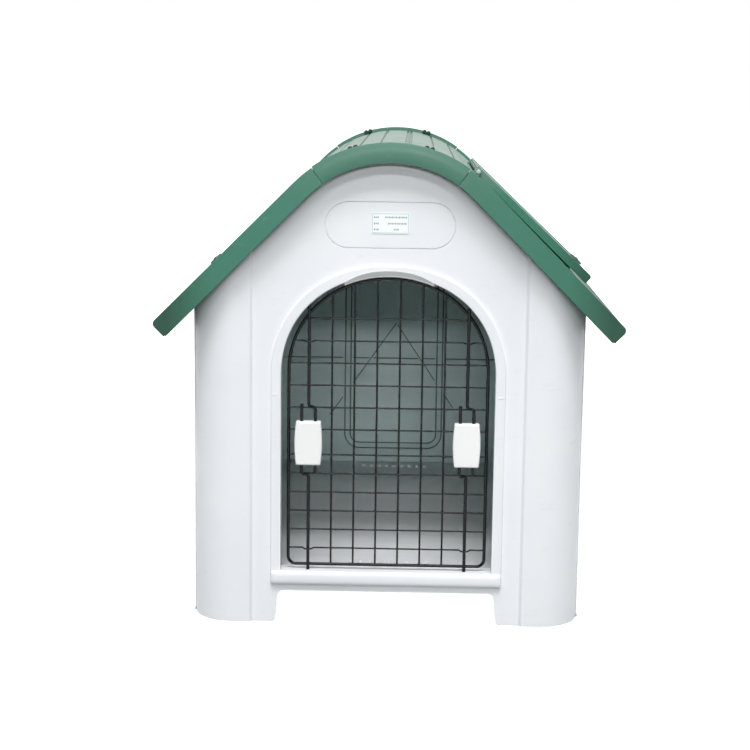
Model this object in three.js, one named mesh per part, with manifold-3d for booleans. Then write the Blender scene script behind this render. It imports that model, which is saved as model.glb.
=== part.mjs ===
// A moulded plastic pet kennel: four wall panels, a floor tray, a two-slope roof with a ridge cap and a
// skylight hatch, and a wire door that hangs on two spring latches.
// Millimetres, +Z up, the doorway faces -Y. The origin is the centre of the footprint on the ground.

import * as THREE from 'three';
import { mergeVertices } from 'three/addons/utils/BufferGeometryUtils.js';
import Module from 'manifold-3d';

const wasm = await Module();
wasm.setup();

// ---- driving dimensions ----

// Roof
const RIDGE_Z = 755;
const ROOF_HALF_WIDTH = 360;
const ROOF_HALF_DEPTH = 435;
const RIDGE_RADIUS = 206.8;
const CAP_PROUD = 1.2;
const CAP_ANGLE = 35;
const LIP_HEIGHT = 30;
const LIP_THICKNESS = 4;
const PLANK_RECESS = 5;
const ROOF_PLATE = 4;
const PLANK_PITCH = 38;
const PLANK_GROOVE_WIDTH = 2.4;
const PLANK_GROOVE_DEPTH = 1.4;
const CAP_GROOVES = [-26.5, -15.5, -5.2, 6.3, 8, 19, 29.5];
const TIP_ROUND = 8;
const EAVE_RIM = 12;
const EAVE_WALL = 3.5;
const TONGUE_HALF_DEPTH = 385;
const TONGUE_THICKNESS = 3;
const CLIP_ANGLE = 16.2;
const CLIP_Y = 424;
const CLIP_LUG_RADIUS = 3.2;
const CLIP_LUG_OFFSET = 3.6;
const CLIP_STEM_HALF_WIDTH = 4;
const CLIP_STEM_HALF_DEPTH = 3;
const JOINT_GAP = 0.4;

// Walls
const WALL_HALF_WIDTH = 305;
const WALL_FACE_Y = 405;
const WALL = 4;
const PILLAR_PROUD = 12;
const PILLAR_INNER_X = 204;
const PILLAR_OUTER_X = 240;
const CORNER_RADIUS = 65;
const SEAM_Y = 350;
const FOOT_GAP_HEIGHT = 51;
const FOOT_GAP_HALF_WIDTH = 168;
const FOOT_GAP_FLARE = 8;
const FOOT_GAP_RADIUS = 12;
const SOLE_DEPTH = 30;
const SEAT_REACH = 12;
const REAR_SEAT_HALF_WIDTH = 200;
const NAMEPLATE = { halfWidth: 100, lowZ: 593, highZ: 664.6, groove: 2, depth: 1.2 };
const LABEL = { halfWidth: 29, lowZ: 616, highZ: 648, thickness: 0.5, gap: 0.3 };
const REAR_RIB = { halfWidth: 100, lowZ: 113, highZ: 480, width: 14, proud: 3, radius: 28 };

// Side walls
const SIDE_RAIL = { halfLength: 300, lowZ: 110, highZ: 370, width: 14, proud: 3, radius: 30 };
const LOUVRE_YS = [-210, -175, -140, 140, 175, 210];
const LOUVRE = { halfWidth: 8, lowZ: 395, highZ: 435 };
const SIDE_SEAT_HALF_LENGTH = 330;
const LOCK_NOTCH = { halfLength: 22, lowZ: 494 };
const SEAM_TONGUE = { overlap: 30, reach: 14, thickness: 3, lowZ: 100, highZ: 440 };
const SCREW_RADIUS = 6;
const SCREW_HEIGHT = 2.2;
const SCREW_INSET = 12;
const SCREW_LEVELS = { lower: 180, upper: 400 };

// Doorway
const DOORWAY_HALF_WIDTH = 165.5;
const DOORWAY_BOTTOM_Z = 84;
const DOORWAY_SPRING_Z = 395;
const DOORWAY_ARCH = 156.5;
const DOORWAY_SQUARENESS = 2.13;
const BORDER_WIDTH = 16;
const BORDER_PROUD = 4;
const BORDER_BOTTOM_Z = 62;
const REVEAL_DEPTH = 25;

// Floor
const FLOOR_TOP_Z = 84;
const FLOOR_THICKNESS = 6;
const FLOOR_FRONT_Y = -376.4;
const FLOOR_CLEARANCE = 0.6;
const FLOOR_FRONT_RADIUS = 50;
const FLOOR_BACK_RADIUS = 60;
const FLOOR_RIB_DROP = 22;
const FLOOR_RIB_XS = [-225, -135, -45, 45, 135, 225];
const FLOOR_RIB_YS = [-300, 0, 320];
const FLOOR_RIB_HALF = 3;
const DRAIN_YS = [-352, 362];
const DRAIN_PITCH = 15;
const DRAIN_SHIFT = 4;

// Door and latches
const DOOR_Y = -391;
const DOOR_HALF_WIDTH = 154.5;
const DOOR_BOTTOM_Z = 91.3;
const DOOR_SPRING_Z = 400;
const DOOR_ARCH = 146;
const DOOR_SQUARENESS = 2.05;
const FRAME_WIRE = 5;
const UPRIGHT_WIRE = 3;
const CROSS_WIRE = 2.5;
const WIRE_PITCH = 35;
const CROSS_ROWS = [117.9, 147.9, 177.9, 207.9, 237.9, 267.9, 307.9, 342.9, 377.9, 412.9, 447.9];
const SHORT_ROW = 482.9;
const GUIDE_REACH = 9.4;
const ROD_WIRE = 5;
const ROD_X = 123;
const ROD_Y = -396.5;
const GRIP_Y = -401.4;
const GRIP_BOTTOM_Z = 254;
const GRIP_TOP_Z = 323;
const PRONG_OFFSET = 10.5;
const LATCH_TRAVEL = 12;
const GRIP_HALF_THICKNESS = 8;
const UPPER_TIP_Z = 502;
const LOWER_TIP_Z = 84.5;
const UPPER_SHOULDER_Z = 345;
const UPPER_END_Z = 240;
const LOWER_SHOULDER_Z = 238;
const LOWER_END_Z = 350;
const COLLAR_UPPER_Z = 300;
const COLLAR_LOWER_Z = 277;
const COLLAR_RADIUS = 4.6;
const COLLAR_HALF = 1.5;
const POCKET_BOTTOM_Z = 260;
const POCKET_TOP_Z = 317;
const POCKET_RADIUS = 5.2;
const STOP_TAB_HALF_WIDTH = 70;
const STOP_TAB_THICKNESS = 1.8;

// Skylight hatch, measured along the slope from where the slope starts
const HATCH_START = -15;
const HATCH_END = 250;
const HATCH_HALF_DEPTH = 160;
const HATCH_TOP_START = 5.7;
const HATCH_TOP_END = 14.3;
const HATCH_LIP = 14;
const HATCH_SHEET = 3;
const HATCH_AXIS_S = -8.6;
const HATCH_AXIS_H = 0.7;
const SKYLIGHT_START = 14;
const SKYLIGHT_END = 212;
const SKYLIGHT_HALF_DEPTH = 128;
const KERB_WALL = 5;
const HINGE_EAR = 6;
const HINGE_EAR_RADIUS = 5.6;
const HINGE_BORE_RADIUS = 2.3;
const HINGE_PIN_RADIUS = 2;
const KNOB_S = 231;
const KNOB_RADIUS = 12.5;
const KNOB_STEM_RADIUS = 4;
const LOCK_BAR = { width: 8, length: 28, thickness: 3 };
const LOCK_SLOT = { upper: 6, lower: 7.5, halfLength: 17 };

// ---- derived dimensions ----

const RIDGE_CENTRE_Z = RIDGE_Z - RIDGE_RADIUS - CAP_PROUD;
const DIAGONAL = Math.SQRT1_2;
const SLOPE_X = RIDGE_RADIUS * DIAGONAL;
const SLOPE_Z = RIDGE_CENTRE_Z + RIDGE_RADIUS * DIAGONAL;
const TIP_S = (ROOF_HALF_WIDTH + TIP_ROUND * (Math.SQRT2 - 1) - SLOPE_X) * Math.SQRT2;
const ROOF_UNDERSIDE = -(PLANK_RECESS + ROOF_PLATE);
const HATCH_TILT = Math.atan2(HATCH_TOP_END - HATCH_TOP_START, HATCH_END - HATCH_START);
const LID_START_U = HATCH_START - HATCH_AXIS_S;
const LID_END_U = HATCH_END - HATCH_AXIS_S;
const LID_TOP_V = hatchTopAt(HATCH_AXIS_S) - HATCH_AXIS_H;
const KNOB_U = KNOB_S - HATCH_AXIS_S;
const SEAT_Z = FLOOR_TOP_Z - FLOOR_THICKNESS - JOINT_GAP;
const CAP_PLATE_TOP = CAP_PROUD - PLANK_RECESS - 1;

// ---- materials ----

function plastic(red, green, blue, roughness) {
  const color = new THREE.Color().setRGB(red, green, blue, THREE.SRGBColorSpace);
  return new THREE.MeshStandardMaterial({ color, roughness, metalness: 0 });
}

function metal(red, green, blue, roughness) {
  const color = new THREE.Color().setRGB(red, green, blue, THREE.SRGBColorSpace);
  return new THREE.MeshStandardMaterial({ color, roughness, metalness: 0.8 });
}

const whitePlastic = () => plastic(0.93, 0.94, 0.95, 0.5);
const greenPlastic = () => plastic(0.29, 0.52, 0.44, 0.5);
const darkGreenPlastic = () => plastic(0.13, 0.3, 0.22, 0.5);
const greyPlastic = () => plastic(0.62, 0.65, 0.65, 0.5);
const knobPlastic = () => plastic(0.3, 0.36, 0.34, 0.55);
const tabPlastic = () => plastic(0.82, 0.84, 0.84, 0.35);
const gripPlastic = () => plastic(0.95, 0.95, 0.95, 0.4);
const paperLabel = () => plastic(0.97, 0.98, 0.98, 0.6);
const blackWire = () => metal(0.07, 0.08, 0.08, 0.4);
const springSteel = () => metal(0.6, 0.6, 0.6, 0.35);

// ---- solids ----

function solid(geometry) {
  const plain = geometry.clone();
  plain.deleteAttribute('normal');
  plain.deleteAttribute('uv');
  const merged = mergeVertices(plain, 1e-4);
  const vertProperties = new Float32Array(merged.attributes.position.array);
  const triVerts = new Uint32Array(merged.index.array);
  return new wasm.Manifold(new wasm.Mesh({ numProp: 3, vertProperties, triVerts }));
}

function geometryOf(body) {
  const mesh = body.getMesh();
  const geometry = new THREE.BufferGeometry();
  geometry.setAttribute('position', new THREE.BufferAttribute(mesh.vertProperties, 3));
  geometry.setIndex(new THREE.BufferAttribute(mesh.triVerts, 1));
  geometry.computeVertexNormals();
  return geometry;
}

function joined(bodies) {
  return bodies.reduce((whole, body) => whole.add(body));
}

function cut(body, tools) {
  return tools.reduce((rest, tool) => rest.subtract(tool), body);
}

function extrusion(points, length) {
  const shape = new THREE.Shape(points.map(([x, y]) => new THREE.Vector2(x, y)));
  return new THREE.ExtrudeGeometry(shape, { depth: length, bevelEnabled: false, steps: 1 });
}

// Outline in X and Y, extruded upwards.
function slabUp(points, lowZ, highZ) {
  return solid(extrusion(points, highZ - lowZ).translate(0, 0, lowZ));
}

// Outline in X and Z, extruded front to back.
function slabBack(points, lowY, highY) {
  const geometry = extrusion(points, highY - lowY).rotateX(Math.PI / 2);
  return solid(geometry.translate(0, highY, 0));
}

// Outline in Y and Z, extruded from left to right.
function slabAcross(points, lowX, highX) {
  const axes = new THREE.Matrix4().makeBasis(
    new THREE.Vector3(0, 1, 0),
    new THREE.Vector3(0, 0, 1),
    new THREE.Vector3(1, 0, 0),
  );
  const geometry = extrusion(points, highX - lowX).applyMatrix4(axes);
  return solid(geometry.translate(lowX, 0, 0));
}

function block(lowX, highX, lowY, highY, lowZ, highZ) {
  const geometry = new THREE.BoxGeometry(highX - lowX, highY - lowY, highZ - lowZ);
  return solid(geometry.translate((lowX + highX) / 2, (lowY + highY) / 2, (lowZ + highZ) / 2));
}

// A cylinder from one point to another.
function roundBar(start, end, radius, sides = 12) {
  const from = new THREE.Vector3(...start);
  const to = new THREE.Vector3(...end);
  const axis = to.clone().sub(from);
  const geometry = new THREE.CylinderGeometry(radius, radius, axis.length(), sides);
  const upright = new THREE.Vector3(0, 1, 0);
  const turn = new THREE.Quaternion().setFromUnitVectors(upright, axis.clone().normalize());
  geometry.applyQuaternion(turn);
  const middle = from.add(to).multiplyScalar(0.5);
  return solid(geometry.translate(middle.x, middle.y, middle.z));
}

// A wire of round section through corner points, with every corner bent to the given radius.
function bentWire(corners, radius, bendRadius, sides = 8, bendSteps = 3) {
  const points = corners.map((corner) => new THREE.Vector3(...corner));
  const path = new THREE.CurvePath();
  let last = points[0];
  for (let i = 1; i < points.length - 1; i += 1) {
    const before = points[i].clone().add(points[i - 1].clone().sub(points[i]).setLength(bendRadius));
    const after = points[i].clone().add(points[i + 1].clone().sub(points[i]).setLength(bendRadius));
    path.add(new THREE.LineCurve3(last, before));
    path.add(new THREE.QuadraticBezierCurve3(before, points[i], after));
    last = after;
  }
  path.add(new THREE.LineCurve3(last, points[points.length - 1]));
  const stations = [];
  path.curves.forEach((curve) => {
    const steps = curve.isLineCurve3 ? 1 : bendSteps;
    for (let i = 0; i < steps; i += 1) stations.push(curve.getPoint(i / steps));
  });
  stations.push(points[points.length - 1]);
  return solid(tubeThrough(stations, radius, sides));
}

// A polyline that ExtrudeGeometry samples exactly at its own points.
class Stations extends THREE.Curve {
  constructor(points) {
    super();
    this.points = points;
  }
  getPoint(t, target = new THREE.Vector3()) {
    const place = t * (this.points.length - 1);
    const index = Math.min(Math.floor(place), this.points.length - 2);
    return target.lerpVectors(this.points[index], this.points[index + 1], place - index);
  }
  getPointAt(t, target) {
    return this.getPoint(t, target);
  }
  getTangentAt(t) {
    const step = 0.5 / (this.points.length - 1);
    const ahead = this.getPoint(Math.min(t + step, 1));
    const behind = this.getPoint(Math.max(t - step, 0));
    return ahead.sub(behind).normalize();
  }
}

function tubeThrough(stations, radius, sides) {
  const section = new THREE.Shape();
  for (let i = 0; i < sides; i += 1) {
    const angle = (2 * Math.PI * (i + 0.5)) / sides;
    const x = radius * Math.cos(angle);
    const y = radius * Math.sin(angle);
    if (i === 0) section.moveTo(x, y);
    else section.lineTo(x, y);
  }
  return new THREE.ExtrudeGeometry(section, {
    steps: stations.length - 1,
    extrudePath: new Stations(stations),
    bevelEnabled: false,
  });
}

// ---- outlines ----

function arc(centreX, centreY, radius, startDegrees, endDegrees, steps) {
  const points = [];
  for (let i = 0; i <= steps; i += 1) {
    const angle = THREE.MathUtils.degToRad(startDegrees + ((endDegrees - startDegrees) * i) / steps);
    points.push([centreX + radius * Math.cos(angle), centreY + radius * Math.sin(angle)]);
  }
  return points;
}

function roundedRectangle(lowX, highX, lowY, highY, radius, steps = 4) {
  return [
    ...arc(highX - radius, highY - radius, radius, 0, 90, steps),
    ...arc(lowX + radius, highY - radius, radius, 90, 180, steps),
    ...arc(lowX + radius, lowY + radius, radius, 180, 270, steps),
    ...arc(highX - radius, lowY + radius, radius, 270, 360, steps),
  ];
}

// Straight sides under an arch that is a little squarer than an ellipse, from one springing to the other.
function arch(halfWidth, springZ, height, squareness, steps) {
  const points = [];
  for (let i = 0; i <= steps; i += 1) {
    const angle = (Math.PI * i) / steps;
    const across = Math.abs(Math.cos(angle)) ** (2 / squareness) * Math.sign(Math.cos(angle));
    const up = Math.sin(angle) ** (2 / squareness);
    points.push([halfWidth * across, springZ + height * (i === steps ? 0 : up)]);
  }
  return points;
}

function doorwayOutline(margin, bottomZ, steps = 28) {
  const top = arch(
    DOORWAY_HALF_WIDTH + margin,
    DOORWAY_SPRING_Z,
    DOORWAY_ARCH + margin,
    DOORWAY_SQUARENESS,
    steps,
  );
  const side = DOORWAY_HALF_WIDTH + margin;
  return [...top, [-side, bottomZ], [side, bottomZ]];
}

// A point of the ridge arc, at an angle from the ridge and a height over its outer surface.
function arcPoint(degrees, h) {
  const angle = THREE.MathUtils.degToRad(degrees);
  const radius = RIDGE_RADIUS + h;
  return [radius * Math.sin(angle), RIDGE_CENTRE_Z + radius * Math.cos(angle)];
}

// A point of the right slope: s runs down the slope from the end of the ridge arc, h stands out of it.
function slopePoint(s, h) {
  return [SLOPE_X + (s + h) * DIAGONAL, SLOPE_Z + (h - s) * DIAGONAL];
}

// The underside of the roof over both slopes, used to trim the walls.
function underRoof(gap) {
  const h = ROOF_UNDERSIDE - gap;
  const edgeX = WALL_HALF_WIDTH + 1;
  const edgeS = (edgeX - SLOPE_X) / DIAGONAL - h;
  const arcPoints = [];
  for (let degrees = 45; degrees >= -45; degrees -= 5) arcPoints.push(arcPoint(degrees, h));
  const [x, z] = slopePoint(edgeS, h);
  return [[x, z], ...arcPoints, [-x, z], [-edgeX, -1], [edgeX, -1]];
}

// ---- walls ----

// Half of the plan of a gable wall's outer face, from the middle out to the side seam.
function gablePlanHalf(inset) {
  const radius = CORNER_RADIUS - inset;
  const pillarY = WALL_FACE_Y + PILLAR_PROUD - inset;
  const cornerY = WALL_FACE_Y + PILLAR_PROUD - CORNER_RADIUS;
  const corner = arc(PILLAR_OUTER_X, cornerY, radius, 90, 0, 8);
  return [
    [PILLAR_INNER_X + inset * 0.4, WALL_FACE_Y - inset],
    [PILLAR_INNER_X + 3 + inset * 0.4, WALL_FACE_Y + 3 - inset],
    [PILLAR_INNER_X + 6 + inset * 0.2, pillarY - 2],
    [PILLAR_INNER_X + 10, pillarY],
    ...corner,
    [WALL_HALF_WIDTH - inset, SEAM_Y],
  ];
}

// The upright shell of a gable wall, before its openings, with its face towards +Y.
function gableShell() {
  const outer = gablePlanHalf(0);
  const inner = gablePlanHalf(WALL);
  const plan = [
    ...sideOf(outer, -1).reverse(),
    ...outer,
    ...inner.slice().reverse(),
    ...sideOf(inner, -1),
  ];
  const shell = slabUp(plan, 0, RIDGE_Z);
  const trimmed = shell.intersect(slabBack(underRoof(JOINT_GAP), 300, 450));
  return cut(trimmed, [slabBack(footGap(), 380, 430)]);
}

function footGap() {
  const top = FOOT_GAP_HEIGHT;
  const half = FOOT_GAP_HALF_WIDTH;
  const radius = FOOT_GAP_RADIUS;
  return [
    [half + FOOT_GAP_FLARE, -1],
    ...arc(half - radius, top - radius, radius, 0, 90, 4),
    ...arc(-half + radius, top - radius, radius, 90, 180, 4),
    [-half - FOOT_GAP_FLARE, -1],
  ];
}

// A flat sole inside each rounded corner, where the wall stands on the ground.
function cornerSoles() {
  const overlap = 0.5;
  const corner = gablePlanHalf(WALL - overlap).slice(3);
  const right = [...corner, [WALL_HALF_WIDTH - WALL - SOLE_DEPTH, SEAM_Y]];
  return [-1, 1].map((side) => slabUp(sideOf(right, side), 0, WALL));
}

function frontPanel() {
  const shell = gableShell().mirror([0, 1, 0]);
  const soles = cornerSoles().map((sole) => sole.mirror([0, 1, 0]));
  const face = -WALL_FACE_Y;
  const side = DOORWAY_HALF_WIDTH + BORDER_WIDTH;
  const corner = 8;
  const borderOutline = [
    ...arch(side, DOORWAY_SPRING_Z, DOORWAY_ARCH + BORDER_WIDTH, DOORWAY_SQUARENESS, 28),
    ...arc(-side + corner, BORDER_BOTTOM_Z + corner, corner, 180, 270, 4),
    ...arc(side - corner, BORDER_BOTTOM_Z + corner, corner, 270, 360, 4),
  ];
  const border = slabBack(borderOutline, face - BORDER_PROUD, face + 1);
  const reveal = slabBack(doorwayOutline(WALL, DOORWAY_BOTTOM_Z - WALL), face + 1, face + REVEAL_DEPTH);
  const doorway = slabBack(doorwayOutline(0, DOORWAY_BOTTOM_Z), face - 20, face + 40);
  const walls = cut(joined([shell, ...soles, border, reveal]), [doorway]);
  const holeRadius = ROD_WIRE / 2 + 0.6;
  const holeBottomZ = BORDER_BOTTOM_Z - 2;
  const holeTopZ = UPPER_TIP_Z + LATCH_TRAVEL + 16;
  const rodHoles = [-ROD_X, ROD_X].map((x) =>
    roundBar([x, ROD_Y, holeBottomZ], [x, ROD_Y, holeTopZ], holeRadius, 10),
  );
  return cut(walls.add(sill()), [...rodHoles, nameplateGroove()]);
}

// The shallow groove round the nameplate field over the doorway.
function nameplateGroove() {
  const { halfWidth, lowZ, highZ, groove, depth } = NAMEPLATE;
  const face = -WALL_FACE_Y;
  const field = slabBack(stadium(halfWidth, lowZ, highZ), face - 5, face + depth);
  const island = stadium(halfWidth - groove, lowZ + groove, highZ - groove);
  return field.subtract(slabBack(island, face - 6, face + depth + 1));
}

function stadium(halfWidth, lowZ, highZ) {
  const radius = (highZ - lowZ) / 2;
  const middle = (highZ + lowZ) / 2;
  return [
    ...arc(halfWidth - radius, middle, radius, -90, 90, 8),
    ...arc(-halfWidth + radius, middle, radius, 90, 270, 8),
  ];
}

// The rounded sill bar, the ledge behind it that the door stands over, and the seat of the floor tray.
function sill() {
  const face = -WALL_FACE_Y;
  const backY = FLOOR_FRONT_Y - FLOOR_CLEARANCE;
  const ledge = [
    [face + 2, DOORWAY_BOTTOM_Z],
    [backY, DOORWAY_BOTTOM_Z],
    [backY, SEAT_Z],
    [backY + SEAT_REACH, SEAT_Z],
    [backY + SEAT_REACH, SEAT_Z - WALL],
    [backY - WALL, SEAT_Z - WALL],
    [backY - WALL, DOORWAY_BOTTOM_Z - WALL],
    [face + 2, DOORWAY_BOTTOM_Z - WALL],
  ];
  const bar = [
    [face + 2, BORDER_BOTTOM_Z],
    [face - 5, BORDER_BOTTOM_Z],
    [face - 7.2, BORDER_BOTTOM_Z + 5],
    [face - 8, BORDER_BOTTOM_Z + 11],
    [face - 7, BORDER_BOTTOM_Z + 17],
    [face - 3.6, DOORWAY_BOTTOM_Z - 0.8],
    [face - 1, DOORWAY_BOTTOM_Z],
    [face + 2, DOORWAY_BOTTOM_Z],
  ];
  const inside = DOORWAY_HALF_WIDTH + 1;
  const outside = DOORWAY_HALF_WIDTH + BORDER_WIDTH - 4;
  const ledgeBody = slabAcross(ledge, -inside, inside);
  const barBody = slabAcross(bar, -outside, outside);
  return ledgeBody.add(barBody);
}

// A raised band between a rounded rectangle and the same rectangle inset by the band's width.
function frameOutlines(half, lowZ, highZ, width, radius) {
  const inset = radius - width * 0.8;
  return [
    roundedRectangle(-half, half, lowZ, highZ, radius, 6),
    roundedRectangle(-half + width, half - width, lowZ + width, highZ - width, inset, 6),
  ];
}

// The rear wall, with a moulded rib on its inner face that frames a blind doorway.
function rearPanel() {
  const shell = gableShell();
  const innerY = WALL_FACE_Y - WALL;
  const { halfWidth, lowZ, highZ, width, proud, radius } = REAR_RIB;
  const [outline, inside] = frameOutlines(halfWidth, lowZ, highZ, width, radius);
  const rib = slabBack(outline, innerY - proud, innerY + 1);
  const ribInside = slabBack(inside, innerY - proud - 1, innerY);
  const seatHalf = REAR_SEAT_HALF_WIDTH;
  const seat = block(-seatHalf, seatHalf, innerY - SEAT_REACH, innerY + 1, SEAT_Z - WALL, SEAT_Z);
  return joined([shell, ...cornerSoles(), rib.subtract(ribInside), seat]);
}

// A flat side wall. It carries a ledge for the floor, louvre slots, a raised rail, a notch in its top edge
// for the roof's lock bar, and a tongue behind each corner seam.
function sidePanel(side) {
  const outerX = WALL_HALF_WIDTH;
  const innerX = WALL_HALF_WIDTH - WALL;
  const halfY = SEAM_Y - JOINT_GAP;
  const trim = slabBack(underRoof(JOINT_GAP), -halfY, halfY);
  const sheet = block(innerX, outerX, -halfY, halfY, 0, RIDGE_Z).intersect(trim);
  const seatHalf = SIDE_SEAT_HALF_LENGTH;
  const seat = block(innerX - SEAT_REACH, innerX + 1, -seatHalf, seatHalf, SEAT_Z - WALL, SEAT_Z);
  const louvres = LOUVRE_YS.map((y) => {
    const { halfWidth, lowZ, highZ } = LOUVRE;
    const outline = roundedRectangle(y - halfWidth, y + halfWidth, lowZ, highZ, halfWidth, 3);
    return slabAcross(outline, innerX - 5, outerX + 5);
  });
  const notchHalf = LOCK_NOTCH.halfLength;
  const notch = block(innerX - 20, outerX + 5, -notchHalf, notchHalf, LOCK_NOTCH.lowZ, RIDGE_Z);
  const footCut = slabAcross(footGap(), innerX - 20, outerX + 5);
  const solids = [sheet, seat, sideRail(outerX), ...[-1, 1].map((end) => seamTongue(end, innerX, halfY))];
  const panel = cut(joined(solids), [...louvres, notch, footCut]);
  return side > 0 ? panel : panel.mirror([1, 0, 0]);
}

function sideRail(outerX) {
  const { halfLength, lowZ, highZ, width, proud, radius } = SIDE_RAIL;
  const [outline, inside] = frameOutlines(halfLength, lowZ, highZ, width, radius);
  return slabAcross(outline, outerX - 1, outerX + proud).subtract(
    slabAcross(inside, outerX - 2, outerX + proud + 1),
  );
}

// The leaf that reaches behind a gable wall at a corner seam, and the web that carries it.
function seamTongue(end, innerX, halfY) {
  const { overlap, reach, thickness, lowZ, highZ } = SEAM_TONGUE;
  const near = end * (SEAM_Y - overlap);
  const far = end * (SEAM_Y + reach);
  const seam = end * halfY;
  const leafX = innerX - thickness - 2;
  const leaf = block(leafX, leafX + thickness, Math.min(near, far), Math.max(near, far), lowZ, highZ);
  const web = block(leafX, innerX + 1, Math.min(near, seam), Math.max(near, seam), lowZ, highZ);
  return leaf.add(web);
}

// ---- floor ----

function floorTray() {
  const lowZ = FLOOR_TOP_Z - FLOOR_THICKNESS;
  const edgeX = WALL_HALF_WIDTH - WALL - FLOOR_CLEARANCE;
  const backY = WALL_FACE_Y - WALL - FLOOR_CLEARANCE;
  const front = FLOOR_FRONT_RADIUS;
  const back = FLOOR_BACK_RADIUS;
  const outline = [
    ...arc(edgeX - back, backY - back, back, 0, 90, 5),
    ...arc(-edgeX + back, backY - back, back, 90, 180, 5),
    ...arc(-edgeX + front, FLOOR_FRONT_Y + front, front, 180, 270, 5),
    ...arc(edgeX - front, FLOOR_FRONT_Y + front, front, 270, 360, 5),
  ];
  const sheet = slabUp(outline, lowZ, FLOOR_TOP_Z);
  const ribBottom = lowZ - FLOOR_RIB_DROP;
  const half = FLOOR_RIB_HALF;
  const ribs = FLOOR_RIB_XS.map((x) => block(x - half, x + half, -330, 350, ribBottom, lowZ + 1));
  const crossRibs = FLOOR_RIB_YS.map((y) => block(-240, 240, y - half, y + half, ribBottom, lowZ + 1));
  return cut(joined([sheet, ...ribs, ...crossRibs]), drainSlots(lowZ));
}

// A row of short drain slots at the front of the tray and one at the back.
function drainSlots(lowZ) {
  const slots = [];
  DRAIN_YS.forEach((y) => {
    for (let i = -4; i <= 4; i += 1) {
      const x = i * DRAIN_PITCH + DRAIN_SHIFT;
      const outline = roundedRectangle(x - 3, x + 3, y - 8, y + 8, 2.5, 1);
      slots.push(slabUp(outline, lowZ - 1, FLOOR_TOP_Z + 1));
    }
  });
  return slots;
}

// ---- roof ----

// A strip of roof between two heights over the slope, from a start on the ridge arc to a distance down it.
function roofStrip(startDegrees, endS, topH, bottomH) {
  const top = [];
  const bottom = [];
  for (let degrees = startDegrees; degrees < 44.9; degrees += 3) {
    top.push(arcPoint(degrees, topH));
    bottom.push(arcPoint(degrees, bottomH));
  }
  top.push(slopePoint(0, topH), slopePoint(endS, topH));
  bottom.push(slopePoint(0, bottomH), slopePoint(endS, bottomH));
  return [...top, ...bottom.reverse()];
}

// The end lip of a side panel, with its rounded eave corners.
function lipOutline() {
  const top = [];
  const bottom = [];
  for (let degrees = CAP_ANGLE + 0.12; degrees < 44.9; degrees += 3) {
    top.push(arcPoint(degrees, 0));
    bottom.push(arcPoint(degrees, -LIP_HEIGHT));
  }
  top.push(slopePoint(0, 0));
  bottom.push(slopePoint(0, -LIP_HEIGHT));
  const outerCorner = arc(TIP_S - TIP_ROUND, -TIP_ROUND, TIP_ROUND, 90, 0, 5);
  const innerCorner = arc(TIP_S - 3, 3 - LIP_HEIGHT, 3, 0, -90, 2);
  const eave = [...outerCorner, ...innerCorner].map(([s, h]) => slopePoint(s, h));
  return [...top, ...eave, ...bottom.reverse()];
}

function sideOf(points, side) {
  return points.map(([x, z]) => [side * x, z]);
}

function plankGrooves(side, halfDepth) {
  const grooves = [];
  for (let s = PLANK_PITCH * 0.55; s < TIP_S - EAVE_RIM - 10; s += PLANK_PITCH) {
    const top = -PLANK_RECESS;
    const notch = [
      slopePoint(s - PLANK_GROOVE_WIDTH / 2, top + 1),
      slopePoint(s + PLANK_GROOVE_WIDTH / 2, top + 1),
      slopePoint(s + PLANK_GROOVE_WIDTH / 2, top - 0.2),
      slopePoint(s, top - PLANK_GROOVE_DEPTH),
      slopePoint(s - PLANK_GROOVE_WIDTH / 2, top - 0.2),
    ];
    grooves.push(slabBack(sideOf(notch, side), -halfDepth, halfDepth));
  }
  return grooves;
}

// A roof slope: the planked plate, its front and rear lips, the eave rim, and a tongue under the cap.
function roofShell(side) {
  const depth = ROOF_HALF_DEPTH;
  const lipInnerY = depth - LIP_THICKNESS;
  const start = CAP_ANGLE + 0.12;
  const plate = slabBack(
    sideOf(roofStrip(start, TIP_S - 4, -PLANK_RECESS, ROOF_UNDERSIDE), side),
    -depth + 1,
    depth - 1,
  );
  const lips = [-1, 1].map((end) => {
    const near = Math.min(end * depth, end * lipInnerY);
    return slabBack(sideOf(lipOutline(), side), near, near + LIP_THICKNESS);
  });
  const rimProfile = [
    [TIP_S - EAVE_RIM - 4, -PLANK_RECESS - 1],
    [TIP_S - EAVE_RIM, -0.6],
    ...arc(TIP_S - TIP_ROUND, -TIP_ROUND - 0.6, TIP_ROUND, 90, 0, 5),
    [TIP_S, -LIP_HEIGHT + 2],
    [TIP_S - EAVE_WALL, -LIP_HEIGHT + 2],
    [TIP_S - EAVE_WALL, ROOF_UNDERSIDE - 1],
    [TIP_S - EAVE_RIM - 4, ROOF_UNDERSIDE],
  ].map(([s, h]) => slopePoint(s, h));
  const rim = slabBack(sideOf(rimProfile, side), -depth + 1, depth - 1);
  const tongueTop = ROOF_UNDERSIDE - JOINT_GAP - CAP_PROUD;
  const tongue = [];
  const tongueBack = [];
  for (let degrees = CAP_ANGLE - 4; degrees <= CAP_ANGLE + 4; degrees += 4) {
    tongue.push(arcPoint(degrees, degrees > CAP_ANGLE ? ROOF_UNDERSIDE + 1 : tongueTop));
    tongueBack.push(arcPoint(degrees, tongueTop - TONGUE_THICKNESS));
  }
  const tongueOutline = sideOf([...tongue, ...tongueBack.reverse()], side);
  const tongueBody = slabBack(tongueOutline, -TONGUE_HALF_DEPTH, TONGUE_HALF_DEPTH);
  const whole = joined([plate, ...lips, rim, tongueBody]);
  return cut(whole, plankGrooves(side, lipInnerY - 1));
}

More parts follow.
